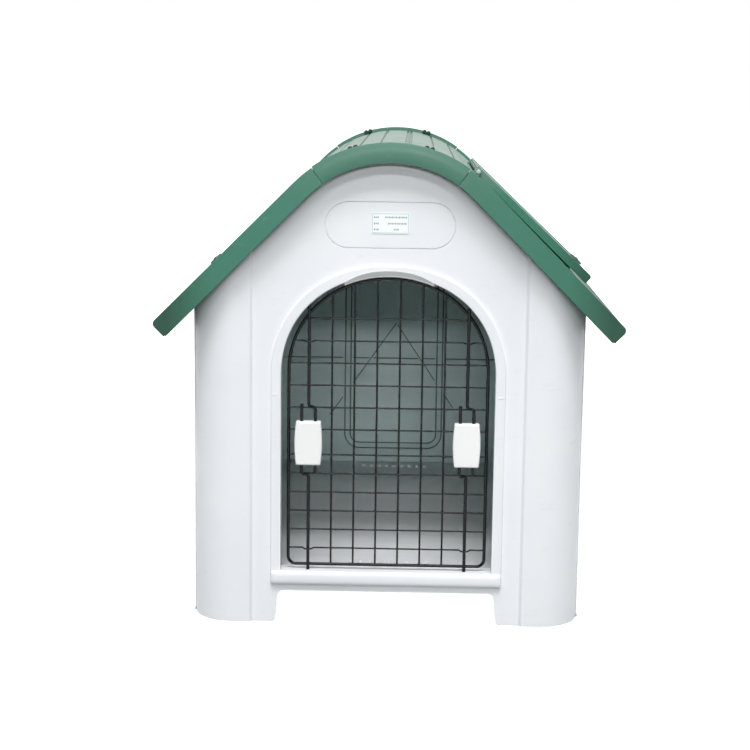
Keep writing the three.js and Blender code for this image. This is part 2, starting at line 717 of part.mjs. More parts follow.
// The slot in a slope that a lock bar drops through.
function lockSlot(side) {
  const { upper, lower, halfLength } = LOCK_SLOT;
  const slot = [
    slopePoint(KNOB_S - upper, 5),
    slopePoint(KNOB_S + lower, 5),
    slopePoint(KNOB_S + lower, ROOF_UNDERSIDE - 5),
    slopePoint(KNOB_S - upper, ROOF_UNDERSIDE - 5),
  ];
  return slabBack(sideOf(slot, side), -halfLength, halfLength);
}

function roofPanelLeft() {
  return roofShell(-1).subtract(lockSlot(-1));
}

// The lid's top surface over the slope, at a distance down it.
function hatchTopAt(s) {
  return HATCH_TOP_START + (s - HATCH_START) * Math.tan(HATCH_TILT);
}

function hatchEarOutline() {
  const round = arc(HATCH_AXIS_S, HATCH_AXIS_H, HINGE_EAR_RADIUS, -10, 190, 8);
  const foot = [
    [HATCH_AXIS_S - 7, -PLANK_RECESS - 2],
    [HATCH_AXIS_S + 7, -PLANK_RECESS - 2],
  ];
  return [...round, ...foot].map(([s, h]) => slopePoint(s, h));
}

function hingeBore() {
  const [x, z] = slopePoint(HATCH_AXIS_S, HATCH_AXIS_H);
  const reach = HATCH_HALF_DEPTH + 40;
  return roundBar([x, -reach, z], [x, reach, z], HINGE_BORE_RADIUS, 10);
}

// The right slope also has the skylight opening, a kerb round it that the lid closes on, and hinge ears.
function roofPanelRight() {
  const kerbTop = (s) => hatchTopAt(s) - HATCH_SHEET - JOINT_GAP;
  const kerbStart = SKYLIGHT_START - KERB_WALL;
  const kerbEnd = SKYLIGHT_END + KERB_WALL;
  const kerbOutline = [
    slopePoint(kerbStart, kerbTop(kerbStart)),
    slopePoint(kerbEnd, kerbTop(kerbEnd)),
    slopePoint(kerbEnd, ROOF_UNDERSIDE + 0.5),
    slopePoint(kerbStart, ROOF_UNDERSIDE + 0.5),
  ];
  const kerbHalf = SKYLIGHT_HALF_DEPTH + KERB_WALL;
  const kerb = slabBack(kerbOutline, -kerbHalf, kerbHalf);
  const opening = slabBack(
    [
      slopePoint(SKYLIGHT_START, 40),
      slopePoint(SKYLIGHT_END, 40),
      slopePoint(SKYLIGHT_END, -40),
      slopePoint(SKYLIGHT_START, -40),
    ],
    -SKYLIGHT_HALF_DEPTH,
    SKYLIGHT_HALF_DEPTH,
  );
  const earStart = HATCH_HALF_DEPTH + 0.5;
  const ears = [
    slabBack(hatchEarOutline(), earStart, earStart + HINGE_EAR),
    slabBack(hatchEarOutline(), -earStart - HINGE_EAR, -earStart),
  ];
  const whole = joined([roofShell(1), kerb]);
  return cut(joined([cut(whole, [opening, lockSlot(1)]), ...ears]), [hingeBore()]);
}

// The cap over the ridge: a curved planked plate between two deep end lips.
function ridgeCap() {
  const depth = ROOF_HALF_DEPTH;
  const band = (topH, bottomH) => {
    const top = [];
    const bottom = [];
    for (let degrees = -CAP_ANGLE; degrees <= CAP_ANGLE; degrees += 5) {
      top.push(arcPoint(degrees, topH));
      bottom.push(arcPoint(degrees, bottomH));
    }
    return [...top, ...bottom.reverse()];
  };
  const plate = slabBack(band(CAP_PLATE_TOP, ROOF_UNDERSIDE), -depth + 1, depth - 1);
  const lips = [-1, 1].map((end) => {
    const near = Math.min(end * depth, end * (depth - LIP_THICKNESS));
    return slabBack(band(CAP_PROUD, -LIP_HEIGHT), near, near + LIP_THICKNESS);
  });
  const grooves = CAP_GROOVES.map((degrees) => {
    const half = THREE.MathUtils.radToDeg(PLANK_GROOVE_WIDTH / 2 / RIDGE_RADIUS);
    const notch = [
      arcPoint(degrees - half, CAP_PLATE_TOP + 2),
      arcPoint(degrees + half, CAP_PLATE_TOP + 2),
      arcPoint(degrees + half, CAP_PLATE_TOP - 0.4),
      arcPoint(degrees, CAP_PLATE_TOP - PLANK_GROOVE_DEPTH),
      arcPoint(degrees - half, CAP_PLATE_TOP - 0.4),
    ];
    return slabBack(notch, -depth + LIP_THICKNESS + 1, depth - LIP_THICKNESS - 1);
  });
  const clipHoles = clipPlaces().map(([degrees, y]) => clipHole(degrees, y));
  return cut(joined([plate, ...lips]), [...grooves, ...clipHoles]);
}

function clipPlaces() {
  return [
    [-CLIP_ANGLE, -CLIP_Y],
    [CLIP_ANGLE, -CLIP_Y],
    [-CLIP_ANGLE, CLIP_Y],
    [CLIP_ANGLE, CLIP_Y],
  ];
}

// A snap clip through the cap: a flat stem with a pair of rounded lugs on a foot plate.
function clipBody(degrees, y) {
  const top = CAP_PLATE_TOP;
  const lugs = [-CLIP_LUG_OFFSET, CLIP_LUG_OFFSET].map((across) =>
    arc(across, top + CLIP_LUG_RADIUS + 0.6, CLIP_LUG_RADIUS, 0, 315, 7),
  );
  const foot = [
    [-7, top + JOINT_GAP],
    [7, top + JOINT_GAP],
    [7, top + 3],
    [-7, top + 3],
  ];
  const stem = slabBack(
    clipStem(degrees, CLIP_STEM_HALF_WIDTH, top + 1),
    y - CLIP_STEM_HALF_DEPTH,
    y + CLIP_STEM_HALF_DEPTH,
  );
  const heads = [...lugs, foot].map((points) => slabBack(onArc(points, degrees), y - 4, y + 4));
  return joined([stem, ...heads]);
}

// The hole in the cap that a clip's stem passes through.
function clipHole(degrees, y) {
  const margin = 0.35;
  const halfY = CLIP_STEM_HALF_DEPTH + margin;
  const outline = clipStem(degrees, CLIP_STEM_HALF_WIDTH + margin, CAP_PLATE_TOP + 3);
  return slabBack(outline, y - halfY, y + halfY);
}

function clipStem(degrees, halfWidth, topH) {
  const bottomH = ROOF_UNDERSIDE - 6;
  const points = [
    [-halfWidth, topH],
    [halfWidth, topH],
    [halfWidth, bottomH],
    [-halfWidth, bottomH],
  ];
  return onArc(points, degrees);
}

// Points given as distance along the ridge arc and height over it, set round an angle.
function onArc(points, degrees) {
  return points.map(([across, h]) => {
    const turn = THREE.MathUtils.radToDeg(across / RIDGE_RADIUS);
    return arcPoint(degrees + turn, h);
  });
}

// ---- skylight hatch ----

// Lid coordinates: u runs down the lid from the hinge axis, v stands out of it.
function lidPoint(u, v) {
  const s = HATCH_AXIS_S + u * Math.cos(HATCH_TILT) - v * Math.sin(HATCH_TILT);
  const h = HATCH_AXIS_H + u * Math.sin(HATCH_TILT) + v * Math.cos(HATCH_TILT);
  return slopePoint(s, h);
}

function skylightHatch() {
  const half = HATCH_HALF_DEPTH;
  const underV = LID_TOP_V - HATCH_SHEET;
  const endRound = 5;
  const hingeRound = 5;
  const lipWall = 3;
  const endCorner = arc(LID_END_U - endRound, LID_TOP_V - endRound, endRound, 90, 0, 4);
  const sheet = [
    [LID_START_U, underV + 1],
    [LID_START_U, LID_TOP_V - 1],
    [LID_START_U + 1, LID_TOP_V],
    ...endCorner,
    [LID_END_U, LID_TOP_V - HATCH_LIP],
    [LID_END_U - lipWall, LID_TOP_V - HATCH_LIP],
    [LID_END_U - lipWall, underV],
    [LID_START_U + 1, underV],
  ].map(([u, v]) => lidPoint(u, v));
  const lip = [
    [LID_START_U + 0.5, LID_TOP_V - 0.6],
    ...endCorner.map(([u, v]) => [u - 0.2, v - 0.2]),
    [LID_END_U - 0.2, LID_TOP_V - HATCH_LIP],
    ...arc(0, 0, hingeRound, -90, -180, 4),
  ].map(([u, v]) => lidPoint(u, v));
  const bodies = [
    slabBack(sheet, -half + 1, half - 1),
    slabBack(lip, -half, -half + lipWall),
    slabBack(lip, half - lipWall, half),
  ];
  const holeRadius = KNOB_STEM_RADIUS + 0.3;
  const stemHole = roundBar(knobPlace(LID_TOP_V + 5), knobPlace(LID_TOP_V - 10), holeRadius, 12);
  const grooves = [];
  for (let u = 26; u < LID_END_U - 30; u += PLANK_PITCH) {
    const notch = [
      [u - PLANK_GROOVE_WIDTH / 2, LID_TOP_V + 1],
      [u + PLANK_GROOVE_WIDTH / 2, LID_TOP_V + 1],
      [u + PLANK_GROOVE_WIDTH / 2, LID_TOP_V - 0.2],
      [u, LID_TOP_V - PLANK_GROOVE_DEPTH + 0.2],
      [u - PLANK_GROOVE_WIDTH / 2, LID_TOP_V - 0.2],
    ].map(([along, v]) => lidPoint(along, v));
    grooves.push(slabBack(notch, -half + 6, half - 6));
  }
  return cut(joined(bodies), [hingeBore(), stemHole, ...grooves]);
}

function knobPlace(v) {
  const [x, z] = lidPoint(KNOB_U, v);
  return [x, 0, z];
}

// A quarter-turn knob: a grooved head, a stem, and the lock bar on the stem's end.
function turnKnob(headBottom, headHeight, barTop, place) {
  const { width, length, thickness } = LOCK_BAR;
  const head = roundBar(place(headBottom), place(headBottom + headHeight), KNOB_RADIUS, 20);
  const stem = roundBar(place(headBottom + 1), place(barTop - 2), KNOB_STEM_RADIUS, 12);
  const low = new THREE.Vector3(...place(barTop - thickness));
  const high = new THREE.Vector3(...place(barTop));
  const up = high.clone().sub(low).normalize();
  const middle = low.clone().add(high).multiplyScalar(0.5);
  const bar = new THREE.BoxGeometry(width, length, thickness);
  const turn = new THREE.Matrix4().makeBasis(
    new THREE.Vector3(up.z, 0, -up.x),
    new THREE.Vector3(0, 1, 0),
    up,
  );
  bar.applyMatrix4(turn).translate(middle.x, middle.y, middle.z);
  const grip = new THREE.BoxGeometry(5, 20, 3);
  const top = new THREE.Vector3(...place(headBottom + headHeight));
  grip.applyMatrix4(turn).translate(top.x, top.y, top.z);
  return joined([head, stem, solid(bar), solid(grip)]);
}

function hatchKnob() {
  return turnKnob(LID_TOP_V + JOINT_GAP, 3.4, LID_TOP_V - 25, knobPlace);
}

function roofLockKnob() {
  const place = (h) => {
    const [x, z] = slopePoint(KNOB_S, h);
    return [-x, 0, z];
  };
  return turnKnob(-PLANK_RECESS + JOINT_GAP, 10, ROOF_UNDERSIDE - 2, place);
}

function hingePin(end) {
  const [x, z] = slopePoint(HATCH_AXIS_S, HATCH_AXIS_H);
  const inner = HATCH_HALF_DEPTH - 8;
  const outer = HATCH_HALF_DEPTH + HINGE_EAR + 1;
  const headRadius = 3.6;
  const headHeight = 1.6;
  const shaft = roundBar([x, end * inner, z], [x, end * outer, z], HINGE_PIN_RADIUS, 10);
  const head = roundBar([x, end * outer, z], [x, end * (outer + headHeight), z], headRadius, 10);
  return shaft.add(head);
}

// ---- door ----

function doorMesh() {
  const radius = FRAME_WIRE / 2;
  const corner = 12;
  const top = arch(DOOR_HALF_WIDTH, DOOR_SPRING_Z, DOOR_ARCH, DOOR_SQUARENESS, 18);
  const low = DOOR_BOTTOM_Z;
  const side = DOOR_HALF_WIDTH;
  const loop = [
    ...top,
    ...arc(-side + corner, low + corner, corner, 180, 270, 3),
    ...arc(side - corner, low + corner, corner, 270, 360, 3),
  ];
  const reach = 0.6;
  const bars = loop.map(([x, z], index) => {
    const [nextX, nextZ] = loop[(index + 1) % loop.length];
    const length = Math.hypot(nextX - x, nextZ - z);
    const stepX = ((nextX - x) / length) * reach;
    const stepZ = ((nextZ - z) / length) * reach;
    return roundBar([x - stepX, DOOR_Y, z - stepZ], [nextX + stepX, DOOR_Y, nextZ + stepZ], radius, 6);
  });
  const uprightY = DOOR_Y + 2.3;
  const uprights = [-2.5, -1.5, -0.5, 0.5, 1.5, 2.5].map((column) => {
    const x = column * WIRE_PITCH;
    return roundBar([x, uprightY, low], [x, uprightY, archHeight(x)], UPRIGHT_WIRE / 2, 4);
  });
  const crossY = DOOR_Y - 0.5;
  const wires = CROSS_ROWS.map((z) => {
    const edge = archHalfWidth(z);
    const guided = z === CROSS_ROWS[0] || z === CROSS_ROWS[CROSS_ROWS.length - 1];
    if (!guided) return roundBar([-edge, crossY, z], [edge, crossY, z], CROSS_WIRE / 2, 4);
    return guideWire(edge, crossY, z);
  });
  const edge = ROD_X + 5;
  wires.push(roundBar([-edge, crossY, SHORT_ROW], [edge, crossY, SHORT_ROW], CROSS_WIRE / 2, 4));
  return joined([...bars, ...uprights, ...wires]);
}

// A cross wire with a forward loop that keeps each latch rod against the door.
function guideWire(edge, y, z) {
  const corners = [[-edge, y, z]];
  [-ROD_X, ROD_X].forEach((x) => {
    corners.push([x - 9, y, z]);
    corners.push([x - 4.5, y - GUIDE_REACH, z]);
    corners.push([x + 4.5, y - GUIDE_REACH, z]);
    corners.push([x + 9, y, z]);
  });
  corners.push([edge, y, z]);
  return bentWire(corners, CROSS_WIRE / 2, 1.6, 4, 2);
}

function archHeight(x) {
  const across = Math.abs(x) / DOOR_HALF_WIDTH;
  return DOOR_SPRING_Z + DOOR_ARCH * (1 - across ** DOOR_SQUARENESS) ** (1 / DOOR_SQUARENESS);
}

function archHalfWidth(z) {
  if (z <= DOOR_SPRING_Z) return DOOR_HALF_WIDTH;
  const up = (z - DOOR_SPRING_Z) / DOOR_ARCH;
  return DOOR_HALF_WIDTH * (1 - up ** DOOR_SQUARENESS) ** (1 / DOOR_SQUARENESS);
}

// ---- latches ----

// A latch rod from its tip to its crank, then through the grip as a prong with a spring collar on it.
function latchRod(x, prongX, tipZ, shoulderZ, endZ, collarZ) {
  const corners = [
    [x, ROD_Y, tipZ],
    [x, ROD_Y, shoulderZ],
    [prongX, GRIP_Y, shoulderZ],
    [prongX, GRIP_Y, endZ],
  ];
  const rod = bentWire(corners, ROD_WIRE / 2, 5, 8, 3);
  const collar = roundBar(
    [prongX, GRIP_Y, collarZ - COLLAR_HALF],
    [prongX, GRIP_Y, collarZ + COLLAR_HALF],
    COLLAR_RADIUS,
    10,
  );
  return rod.add(collar);
}

function upperRod(x, tipZ) {
  return latchRod(x, x + PRONG_OFFSET, tipZ, UPPER_SHOULDER_Z, UPPER_END_Z, COLLAR_UPPER_Z);
}

function lowerRod(x, tipZ) {
  return latchRod(x, x - PRONG_OFFSET, tipZ, LOWER_SHOULDER_Z, LOWER_END_Z, COLLAR_LOWER_Z);
}

// The front or back half of a grip: convex sides, with two channels for the prongs and their springs.
function gripShell(x, front) {
  const halfEnd = 19;
  const bulge = 2.5;
  const middleZ = (GRIP_BOTTOM_Z + GRIP_TOP_Z) / 2;
  const halfHeight = (GRIP_TOP_Z - GRIP_BOTTOM_Z) / 2;
  const sideRadius = (halfHeight * halfHeight + bulge * bulge) / (2 * bulge);
  const spread = THREE.MathUtils.radToDeg(Math.asin((halfHeight - 3) / sideRadius));
  const centre = halfEnd + bulge - sideRadius;
  const outline = [
    ...arc(x + centre, middleZ, sideRadius, -spread, spread, 6),
    [x + halfEnd - 2.4, GRIP_TOP_Z],
    [x - halfEnd + 2.4, GRIP_TOP_Z],
    ...arc(x - centre, middleZ, sideRadius, 180 - spread, 180 + spread, 6),
    [x - halfEnd + 2.4, GRIP_BOTTOM_Z],
    [x + halfEnd - 2.4, GRIP_BOTTOM_Z],
  ];
  const split = 0.15;
  const lowY = front ? GRIP_Y - GRIP_HALF_THICKNESS : GRIP_Y + split;
  const highY = front ? GRIP_Y - split : GRIP_Y + GRIP_HALF_THICKNESS;
  const upright = (place, lowZ, highZ, radius, sides) =>
    roundBar([place, GRIP_Y, lowZ], [place, GRIP_Y, highZ], radius, sides);
  const channels = [x - PRONG_OFFSET, x + PRONG_OFFSET].flatMap((place) => [
    upright(place, GRIP_BOTTOM_Z - 5, GRIP_TOP_Z + 5, ROD_WIRE / 2 + 0.5, 8),
    upright(place, POCKET_BOTTOM_Z, POCKET_TOP_Z, POCKET_RADIUS, 12),
  ]);
  return cut(slabBack(outline, lowY, highY), channels);
}

// A compression spring round a prong, between its collar and the end of its pocket.
function latchSpring(x, lowZ, highZ) {
  const turns = 5;
  const stepsPerTurn = 6;
  const wireRadius = 0.55;
  const coilRadius = 4;
  const stations = [];
  const count = turns * stepsPerTurn;
  for (let i = 0; i <= count; i += 1) {
    const angle = (2 * Math.PI * i) / stepsPerTurn;
    const across = coilRadius * Math.cos(angle);
    const out = coilRadius * Math.sin(angle);
    const z = lowZ + wireRadius + ((highZ - lowZ - 2 * wireRadius) * i) / count;
    stations.push(new THREE.Vector3(x + across, GRIP_Y + out, z));
  }
  return solid(tubeThrough(stations, wireRadius, 3));
}

// ---- small pieces ----

// The clear stop tab over the crown of the doorway.
function doorStopTab() {
  const lower = [];
  const upper = [];
  for (let i = -6; i <= 6; i += 1) {
    const x = (STOP_TAB_HALF_WIDTH * i) / 6;
    const taper = 1 - (i / 6) ** 4;
    const lowZ = archHeight(x) + FRAME_WIRE / 2 + 2.1;
    lower.push([x, lowZ]);
    upper.push([x, lowZ + 2.5 + 5 * taper]);
  }
  const face = -WALL_FACE_Y - BORDER_PROUD - JOINT_GAP;
  return slabBack([...lower, ...upper.reverse()], face - STOP_TAB_THICKNESS, face);
}

function labelPlate() {
  const { halfWidth, lowZ, highZ, thickness, gap } = LABEL;
  const face = -WALL_FACE_Y - gap;
  return slabBack(roundedRectangle(-halfWidth, halfWidth, lowZ, highZ, 2, 2), face - thickness, face);
}

// A round-headed screw that ties a corner seam together from outside.
function cornerScrew(side, end, z) {
  const y = end * (SEAM_Y - SCREW_INSET);
  const face = WALL_HALF_WIDTH + JOINT_GAP;
  return roundBar([side * face, y, z], [side * (face + SCREW_HEIGHT), y, z], SCREW_RADIUS, 12);
}

// ---- assembly ----

const kennel = new THREE.Group();
kennel.name = 'pet_kennel';

function place(name, body, material) {
  const mesh = new THREE.Mesh(geometryOf(body), material);
  mesh.name = name;
  kennel.add(mesh);
}

place('floor_tray', floorTray(), greyPlastic());
place('front_panel', frontPanel(), whitePlastic());
place('rear_panel', rearPanel(), whitePlastic());
place('side_panel_left', sidePanel(-1), whitePlastic());
place('side_panel_right', sidePanel(1), whitePlastic());
place('roof_panel_left', roofPanelLeft(), greenPlastic());
place('roof_panel_right', roofPanelRight(), greenPlastic());
place('ridge_cap', ridgeCap(), greenPlastic());

const CLIP_NAMES = ['front_left', 'front_right', 'rear_left', 'rear_right'];
clipPlaces().forEach(([degrees, y], index) => {
  place(`cap_clip_${CLIP_NAMES[index]}`, clipBody(degrees, y), darkGreenPlastic());
});

place('skylight_hatch', skylightHatch(), greenPlastic());
place('hatch_hinge_pin_front', hingePin(-1), greyPlastic());
place('hatch_hinge_pin_rear', hingePin(1), greyPlastic());
place('hatch_knob', hatchKnob(), knobPlastic());
place('roof_lock_knob', roofLockKnob(), knobPlastic());

place('door_mesh', doorMesh(), blackWire());

// The left latch is the hinge, so its rods rest in their holes. The right rods rest just clear of theirs.
const RODS = [
  ['left', -ROD_X, UPPER_TIP_Z + LATCH_TRAVEL, LOWER_TIP_Z - LATCH_TRAVEL],
  ['right', ROD_X, UPPER_TIP_Z, LOWER_TIP_Z],
];
RODS.forEach(([side, x, upperTip, lowerTip]) => {
  place(`latch_rod_upper_${side}`, upperRod(x, upperTip), blackWire());
  place(`latch_rod_lower_${side}`, lowerRod(x, lowerTip), blackWire());
  place(`latch_grip_front_${side}`, gripShell(x, true), gripPlastic());
  place(`latch_grip_back_${side}`, gripShell(x, false), gripPlastic());
  const upperSpring = latchSpring(x + PRONG_OFFSET, POCKET_BOTTOM_Z + 0.3, COLLAR_UPPER_Z - 1.8);
  const lowerSpring = latchSpring(x - PRONG_OFFSET, COLLAR_LOWER_Z + 1.8, POCKET_TOP_Z - 0.3);
  place(`latch_spring_upper_${side}`, upperSpring, springSteel());
  place(`latch_spring_lower_${side}`, lowerSpring, springSteel());
});

place('door_stop_tab', doorStopTab(), tabPlastic());
place('label_plate', labelPlate(), paperLabel());

[-1, 1].forEach((side) => {
  [-1, 1].forEach((end) => {
    Object.entries(SCREW_LEVELS).forEach(([level, z]) => {
      const name = `corner_screw_${side < 0 ? 'left' : 'right'}_${end < 0 ? 'front' : 'rear'}_${level}`;
      place(name, cornerScrew(side, end, z), whitePlastic());
    });
  });
});

export default kennel;
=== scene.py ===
"""Looks of a moulded plastic pet kennel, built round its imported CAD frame.

Metres, +Z up, the doorway faces -Y. Outlines of gable pieces lie in X and Z, and outlines of side pieces in
Y and Z. On a roof slope, s runs down the slope from the end of the ridge arc, and h stands out of it.
"""

import math

import bmesh
import bpy
from mathutils import Matrix, Vector


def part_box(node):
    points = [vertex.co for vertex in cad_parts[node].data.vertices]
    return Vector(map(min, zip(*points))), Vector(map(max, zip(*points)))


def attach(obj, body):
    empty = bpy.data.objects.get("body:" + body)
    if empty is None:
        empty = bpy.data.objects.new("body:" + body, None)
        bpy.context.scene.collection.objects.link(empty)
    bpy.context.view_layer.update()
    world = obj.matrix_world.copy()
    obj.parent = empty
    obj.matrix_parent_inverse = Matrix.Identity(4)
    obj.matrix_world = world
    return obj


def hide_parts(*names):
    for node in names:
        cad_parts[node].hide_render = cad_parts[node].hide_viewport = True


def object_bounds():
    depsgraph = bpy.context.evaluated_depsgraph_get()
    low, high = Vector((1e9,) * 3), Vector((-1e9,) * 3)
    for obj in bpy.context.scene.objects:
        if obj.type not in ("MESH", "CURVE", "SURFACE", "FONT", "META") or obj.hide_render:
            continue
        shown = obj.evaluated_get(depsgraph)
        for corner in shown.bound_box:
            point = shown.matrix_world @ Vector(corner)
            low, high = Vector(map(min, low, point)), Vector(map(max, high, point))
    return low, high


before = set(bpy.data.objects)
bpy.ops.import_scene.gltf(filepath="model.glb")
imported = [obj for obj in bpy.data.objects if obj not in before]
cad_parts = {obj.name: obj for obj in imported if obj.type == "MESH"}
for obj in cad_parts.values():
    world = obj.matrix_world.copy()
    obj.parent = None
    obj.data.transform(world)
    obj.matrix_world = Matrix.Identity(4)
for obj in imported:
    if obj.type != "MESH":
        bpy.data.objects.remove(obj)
cad_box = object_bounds()

# ---- sizes from the frame ----

ROOF_HALF_WIDTH = cad_box[1].x
ROOF_HALF_DEPTH = cad_box[1].y
RIDGE_Z = cad_box[1].z
WALL_HALF_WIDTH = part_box("front_panel")[1].x
FLOOR_TOP_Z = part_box("floor_tray")[1].z
FLOOR_FRONT_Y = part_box("floor_tray")[0].y
FLOOR_BACK_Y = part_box("floor_tray")[1].y

# ---- roof sizes ----

RIDGE_RADIUS = 0.2068
CAP_PROUD = 0.0012
CAP_ANGLE = 35
LIP_HEIGHT = 0.030
LIP_THICKNESS = 0.004
PLANK_RECESS = 0.005
ROOF_PLATE = 0.004
PLANK_PITCH = 0.038
GROOVE_WIDTH = 0.0036
GROOVE_DEPTH = 0.0026
CAP_GROOVE_WIDTH = 0.0048
CAP_GROOVE_DEPTH = 0.0034
TIP_ROUND = 0.008
EAVE_RIM = 0.012
CAP_GROOVES = (-26.5, -15.5, -5.2, 6.3, 8, 19, 29.5)
CLIP_ANGLE = 16.2
CLIP_Y = 0.424

DIAGONAL = math.sqrt(0.5)
RIDGE_CENTRE_Z = RIDGE_Z - RIDGE_RADIUS - CAP_PROUD
SLOPE_X = RIDGE_RADIUS * DIAGONAL
SLOPE_Z = RIDGE_CENTRE_Z + RIDGE_RADIUS * DIAGONAL
TIP_S = (ROOF_HALF_WIDTH + TIP_ROUND * (math.sqrt(2) - 1) - SLOPE_X) * math.sqrt(2)
ROOF_UNDERSIDE = -(PLANK_RECESS + ROOF_PLATE)

# ---- hatch sizes ----

HATCH_START = -0.015
HATCH_END = 0.250
HATCH_HALF_DEPTH = 0.160
HATCH_TOP_START = 0.0057
HATCH_TOP_END = 0.0143
HATCH_LIP = 0.014
HATCH_SHEET = 0.003
HATCH_AXIS_S = -0.0086
HATCH_AXIS_H = 0.0007
HINGE_BORE_RADIUS = 0.0023
SKYLIGHT_START = 0.014
SKYLIGHT_END = 0.212
SKYLIGHT_HALF_DEPTH = 0.128
KERB_WALL = 0.005
KNOB_S = 0.231
HATCH_TILT = math.atan2(HATCH_TOP_END - HATCH_TOP_START, HATCH_END - HATCH_START)

# ---- wall sizes ----

WALL_FACE_Y = 0.405
WALL = 0.004
PILLAR_PROUD = 0.0045
OGEE_START_X = 0.2090
OGEE_END_X = 0.2150
OGEE_STEPS = 16
PILLAR_OUTER_X = 0.240
CORNER_RADIUS = 0.065
WALL_EDGE_X = WALL_HALF_WIDTH + 0.002
SEAM_Y = 0.350
SEAT_Z = FLOOR_TOP_Z - 0.0064
SEAT_REACH = 0.012
JOINT_GAP = 0.0004
FOOT_GAP_HEIGHT = 0.051
FOOT_GAP_HALF_WIDTH = 0.1708
FOOT_GAP_FLARE = 0.0036

DOORWAY_HALF_WIDTH = 0.1655
DOORWAY_BOTTOM_Z = 0.084
DOORWAY_SPRING_Z = 0.395
DOORWAY_ARCH = 0.1565
DOORWAY_SQUARENESS = 2.13
BORDER_WIDTH = 0.016
BORDER_PROUD = 0.004
BORDER_BOTTOM_Z = 0.062
BORDER_CORNER = 0.005
REVEAL_BACK_Y = -0.380

# ---- door and latch sizes ----

DOOR_Y = -0.391
DOOR_HALF_WIDTH = 0.1545
DOOR_BOTTOM_Z = 0.0913
DOOR_SPRING_Z = 0.400
DOOR_ARCH = 0.146
DOOR_SQUARENESS = 2.05
FRAME_WIRE = 0.005
UPRIGHT_WIRE = 0.003
CROSS_WIRE = 0.0025
WIRE_PITCH = 0.035
ROD_WIRE = 0.005
ROD_X = 0.123
ROD_Y = -0.3965
ROD_BORE_RADIUS = 0.0031
SILL_BORE = (0.060, 0.100)
ARCH_BORE = (0.440, 0.560)
GRIP_Y = -0.4014
GRIP_BOTTOM_Z = 0.254
GRIP_TOP_Z = 0.323
PRONG_OFFSET = 0.0105
COIL_RADIUS = 0.004
COIL_WIRE_RADIUS = 0.00055
COIL_TURNS = 7


def srgb(red, green, blue):
    """A colour from 0 to 255 per channel, in linear light."""
    def channel(value):
        value /= 255
        return value / 12.92 if value <= 0.04045 else ((value + 0.055) / 1.055) ** 2.4
    return (channel(red), channel(green), channel(blue), 1)


# ---- places on the roof ----

def arc_point(degrees, h):
    angle = math.radians(degrees)
    radius = RIDGE_RADIUS + h
    return (radius * math.sin(angle), RIDGE_CENTRE_Z + radius * math.cos(angle))


def slope_point(s, h):
    return (SLOPE_X + (s + h) * DIAGONAL, SLOPE_Z + (h - s) * DIAGONAL)


def slope_quad(start, end, top_start, top_end, base):
    """A four-sided outline on a slope: its top, which may slant, and its level base."""
    corners = ((start, top_start), (end, top_end), (end, base), (start, base))
    return [slope_point(s, h) for s, h in corners]


def lid_point(u, v):
    """A point of the hatch: u runs down the lid from the hinge axis, v stands out of it."""
    s = HATCH_AXIS_S + u * math.cos(HATCH_TILT) - v * math.sin(HATCH_TILT)
    h = HATCH_AXIS_H + u * math.sin(HATCH_TILT) + v * math.cos(HATCH_TILT)
    return slope_point(s, h)


def hatch_top_at(s):
    return HATCH_TOP_START + (s - HATCH_START) * math.tan(HATCH_TILT)


# ---- outlines ----

def arc(centre_x, centre_y, radius, start, end, steps):
    """Points of an arc between two angles in degrees."""
    points = []
    for i in range(steps + 1):
        angle = math.radians(start + (end - start) * i / steps)
        points.append((centre_x + radius * math.cos(angle), centre_y + radius * math.sin(angle)))
    return points


def rounded_rectangle(low_x, high_x, low_y, high_y, radius, steps=6):
    return [
        *arc(high_x - radius, high_y - radius, radius, 0, 90, steps),
        *arc(low_x + radius, high_y - radius, radius, 90, 180, steps),
        *arc(low_x + radius, low_y + radius, radius, 180, 270, steps),
        *arc(high_x - radius, low_y + radius, radius, 270, 360, steps),
    ]


def rectangle(low_x, high_x, low_y, high_y):
    return [(low_x, low_y), (high_x, low_y), (high_x, high_y), (low_x, high_y)]


def bottom_corners(half_width, low, radius, steps):
    """The two rounded lower corners of an outline, from left to right."""
    return [
        *arc(-half_width + radius, low + radius, radius, 180, 270, steps),
        *arc(half_width - radius, low + radius, radius, 270, 360, steps),
    ]


def superellipse_arch(half_width, spring_z, height, squareness, steps=64):
    """An arch a little squarer than an ellipse, from its right springing to its left one."""
    points = []
    for i in range(steps + 1):
        angle = math.pi * i / steps
        cosine = math.cos(angle)
        across = math.copysign(abs(cosine) ** (2 / squareness), cosine)
        up = max(math.sin(angle), 0) ** (2 / squareness)
        points.append((half_width * across, spring_z + height * up))
    return points


def doorway_outline(margin, bottom_z):
    side = DOORWAY_HALF_WIDTH + margin
    top = superellipse_arch(side, DOORWAY_SPRING_Z, DOORWAY_ARCH + margin, DOORWAY_SQUARENESS)
    return [*top, (-side, bottom_z), (side, bottom_z)]


def door_height(x):
    share = abs(x) / DOOR_HALF_WIDTH
    return DOOR_SPRING_Z + DOOR_ARCH * (1 - share ** DOOR_SQUARENESS) ** (1 / DOOR_SQUARENESS)


def door_half_width(z):
    share = max(z - DOOR_SPRING_Z, 0) / DOOR_ARCH
    return DOOR_HALF_WIDTH * (1 - share ** DOOR_SQUARENESS) ** (1 / DOOR_SQUARENESS)


def stadium(half_width, low_z, high_z):
    radius = (high_z - low_z) / 2
    middle = (high_z + low_z) / 2
    return [
        *arc(half_width - radius, middle, radius, -90, 90, 16),
        *arc(-half_width + radius, middle, radius, 90, 270, 16),
    ]


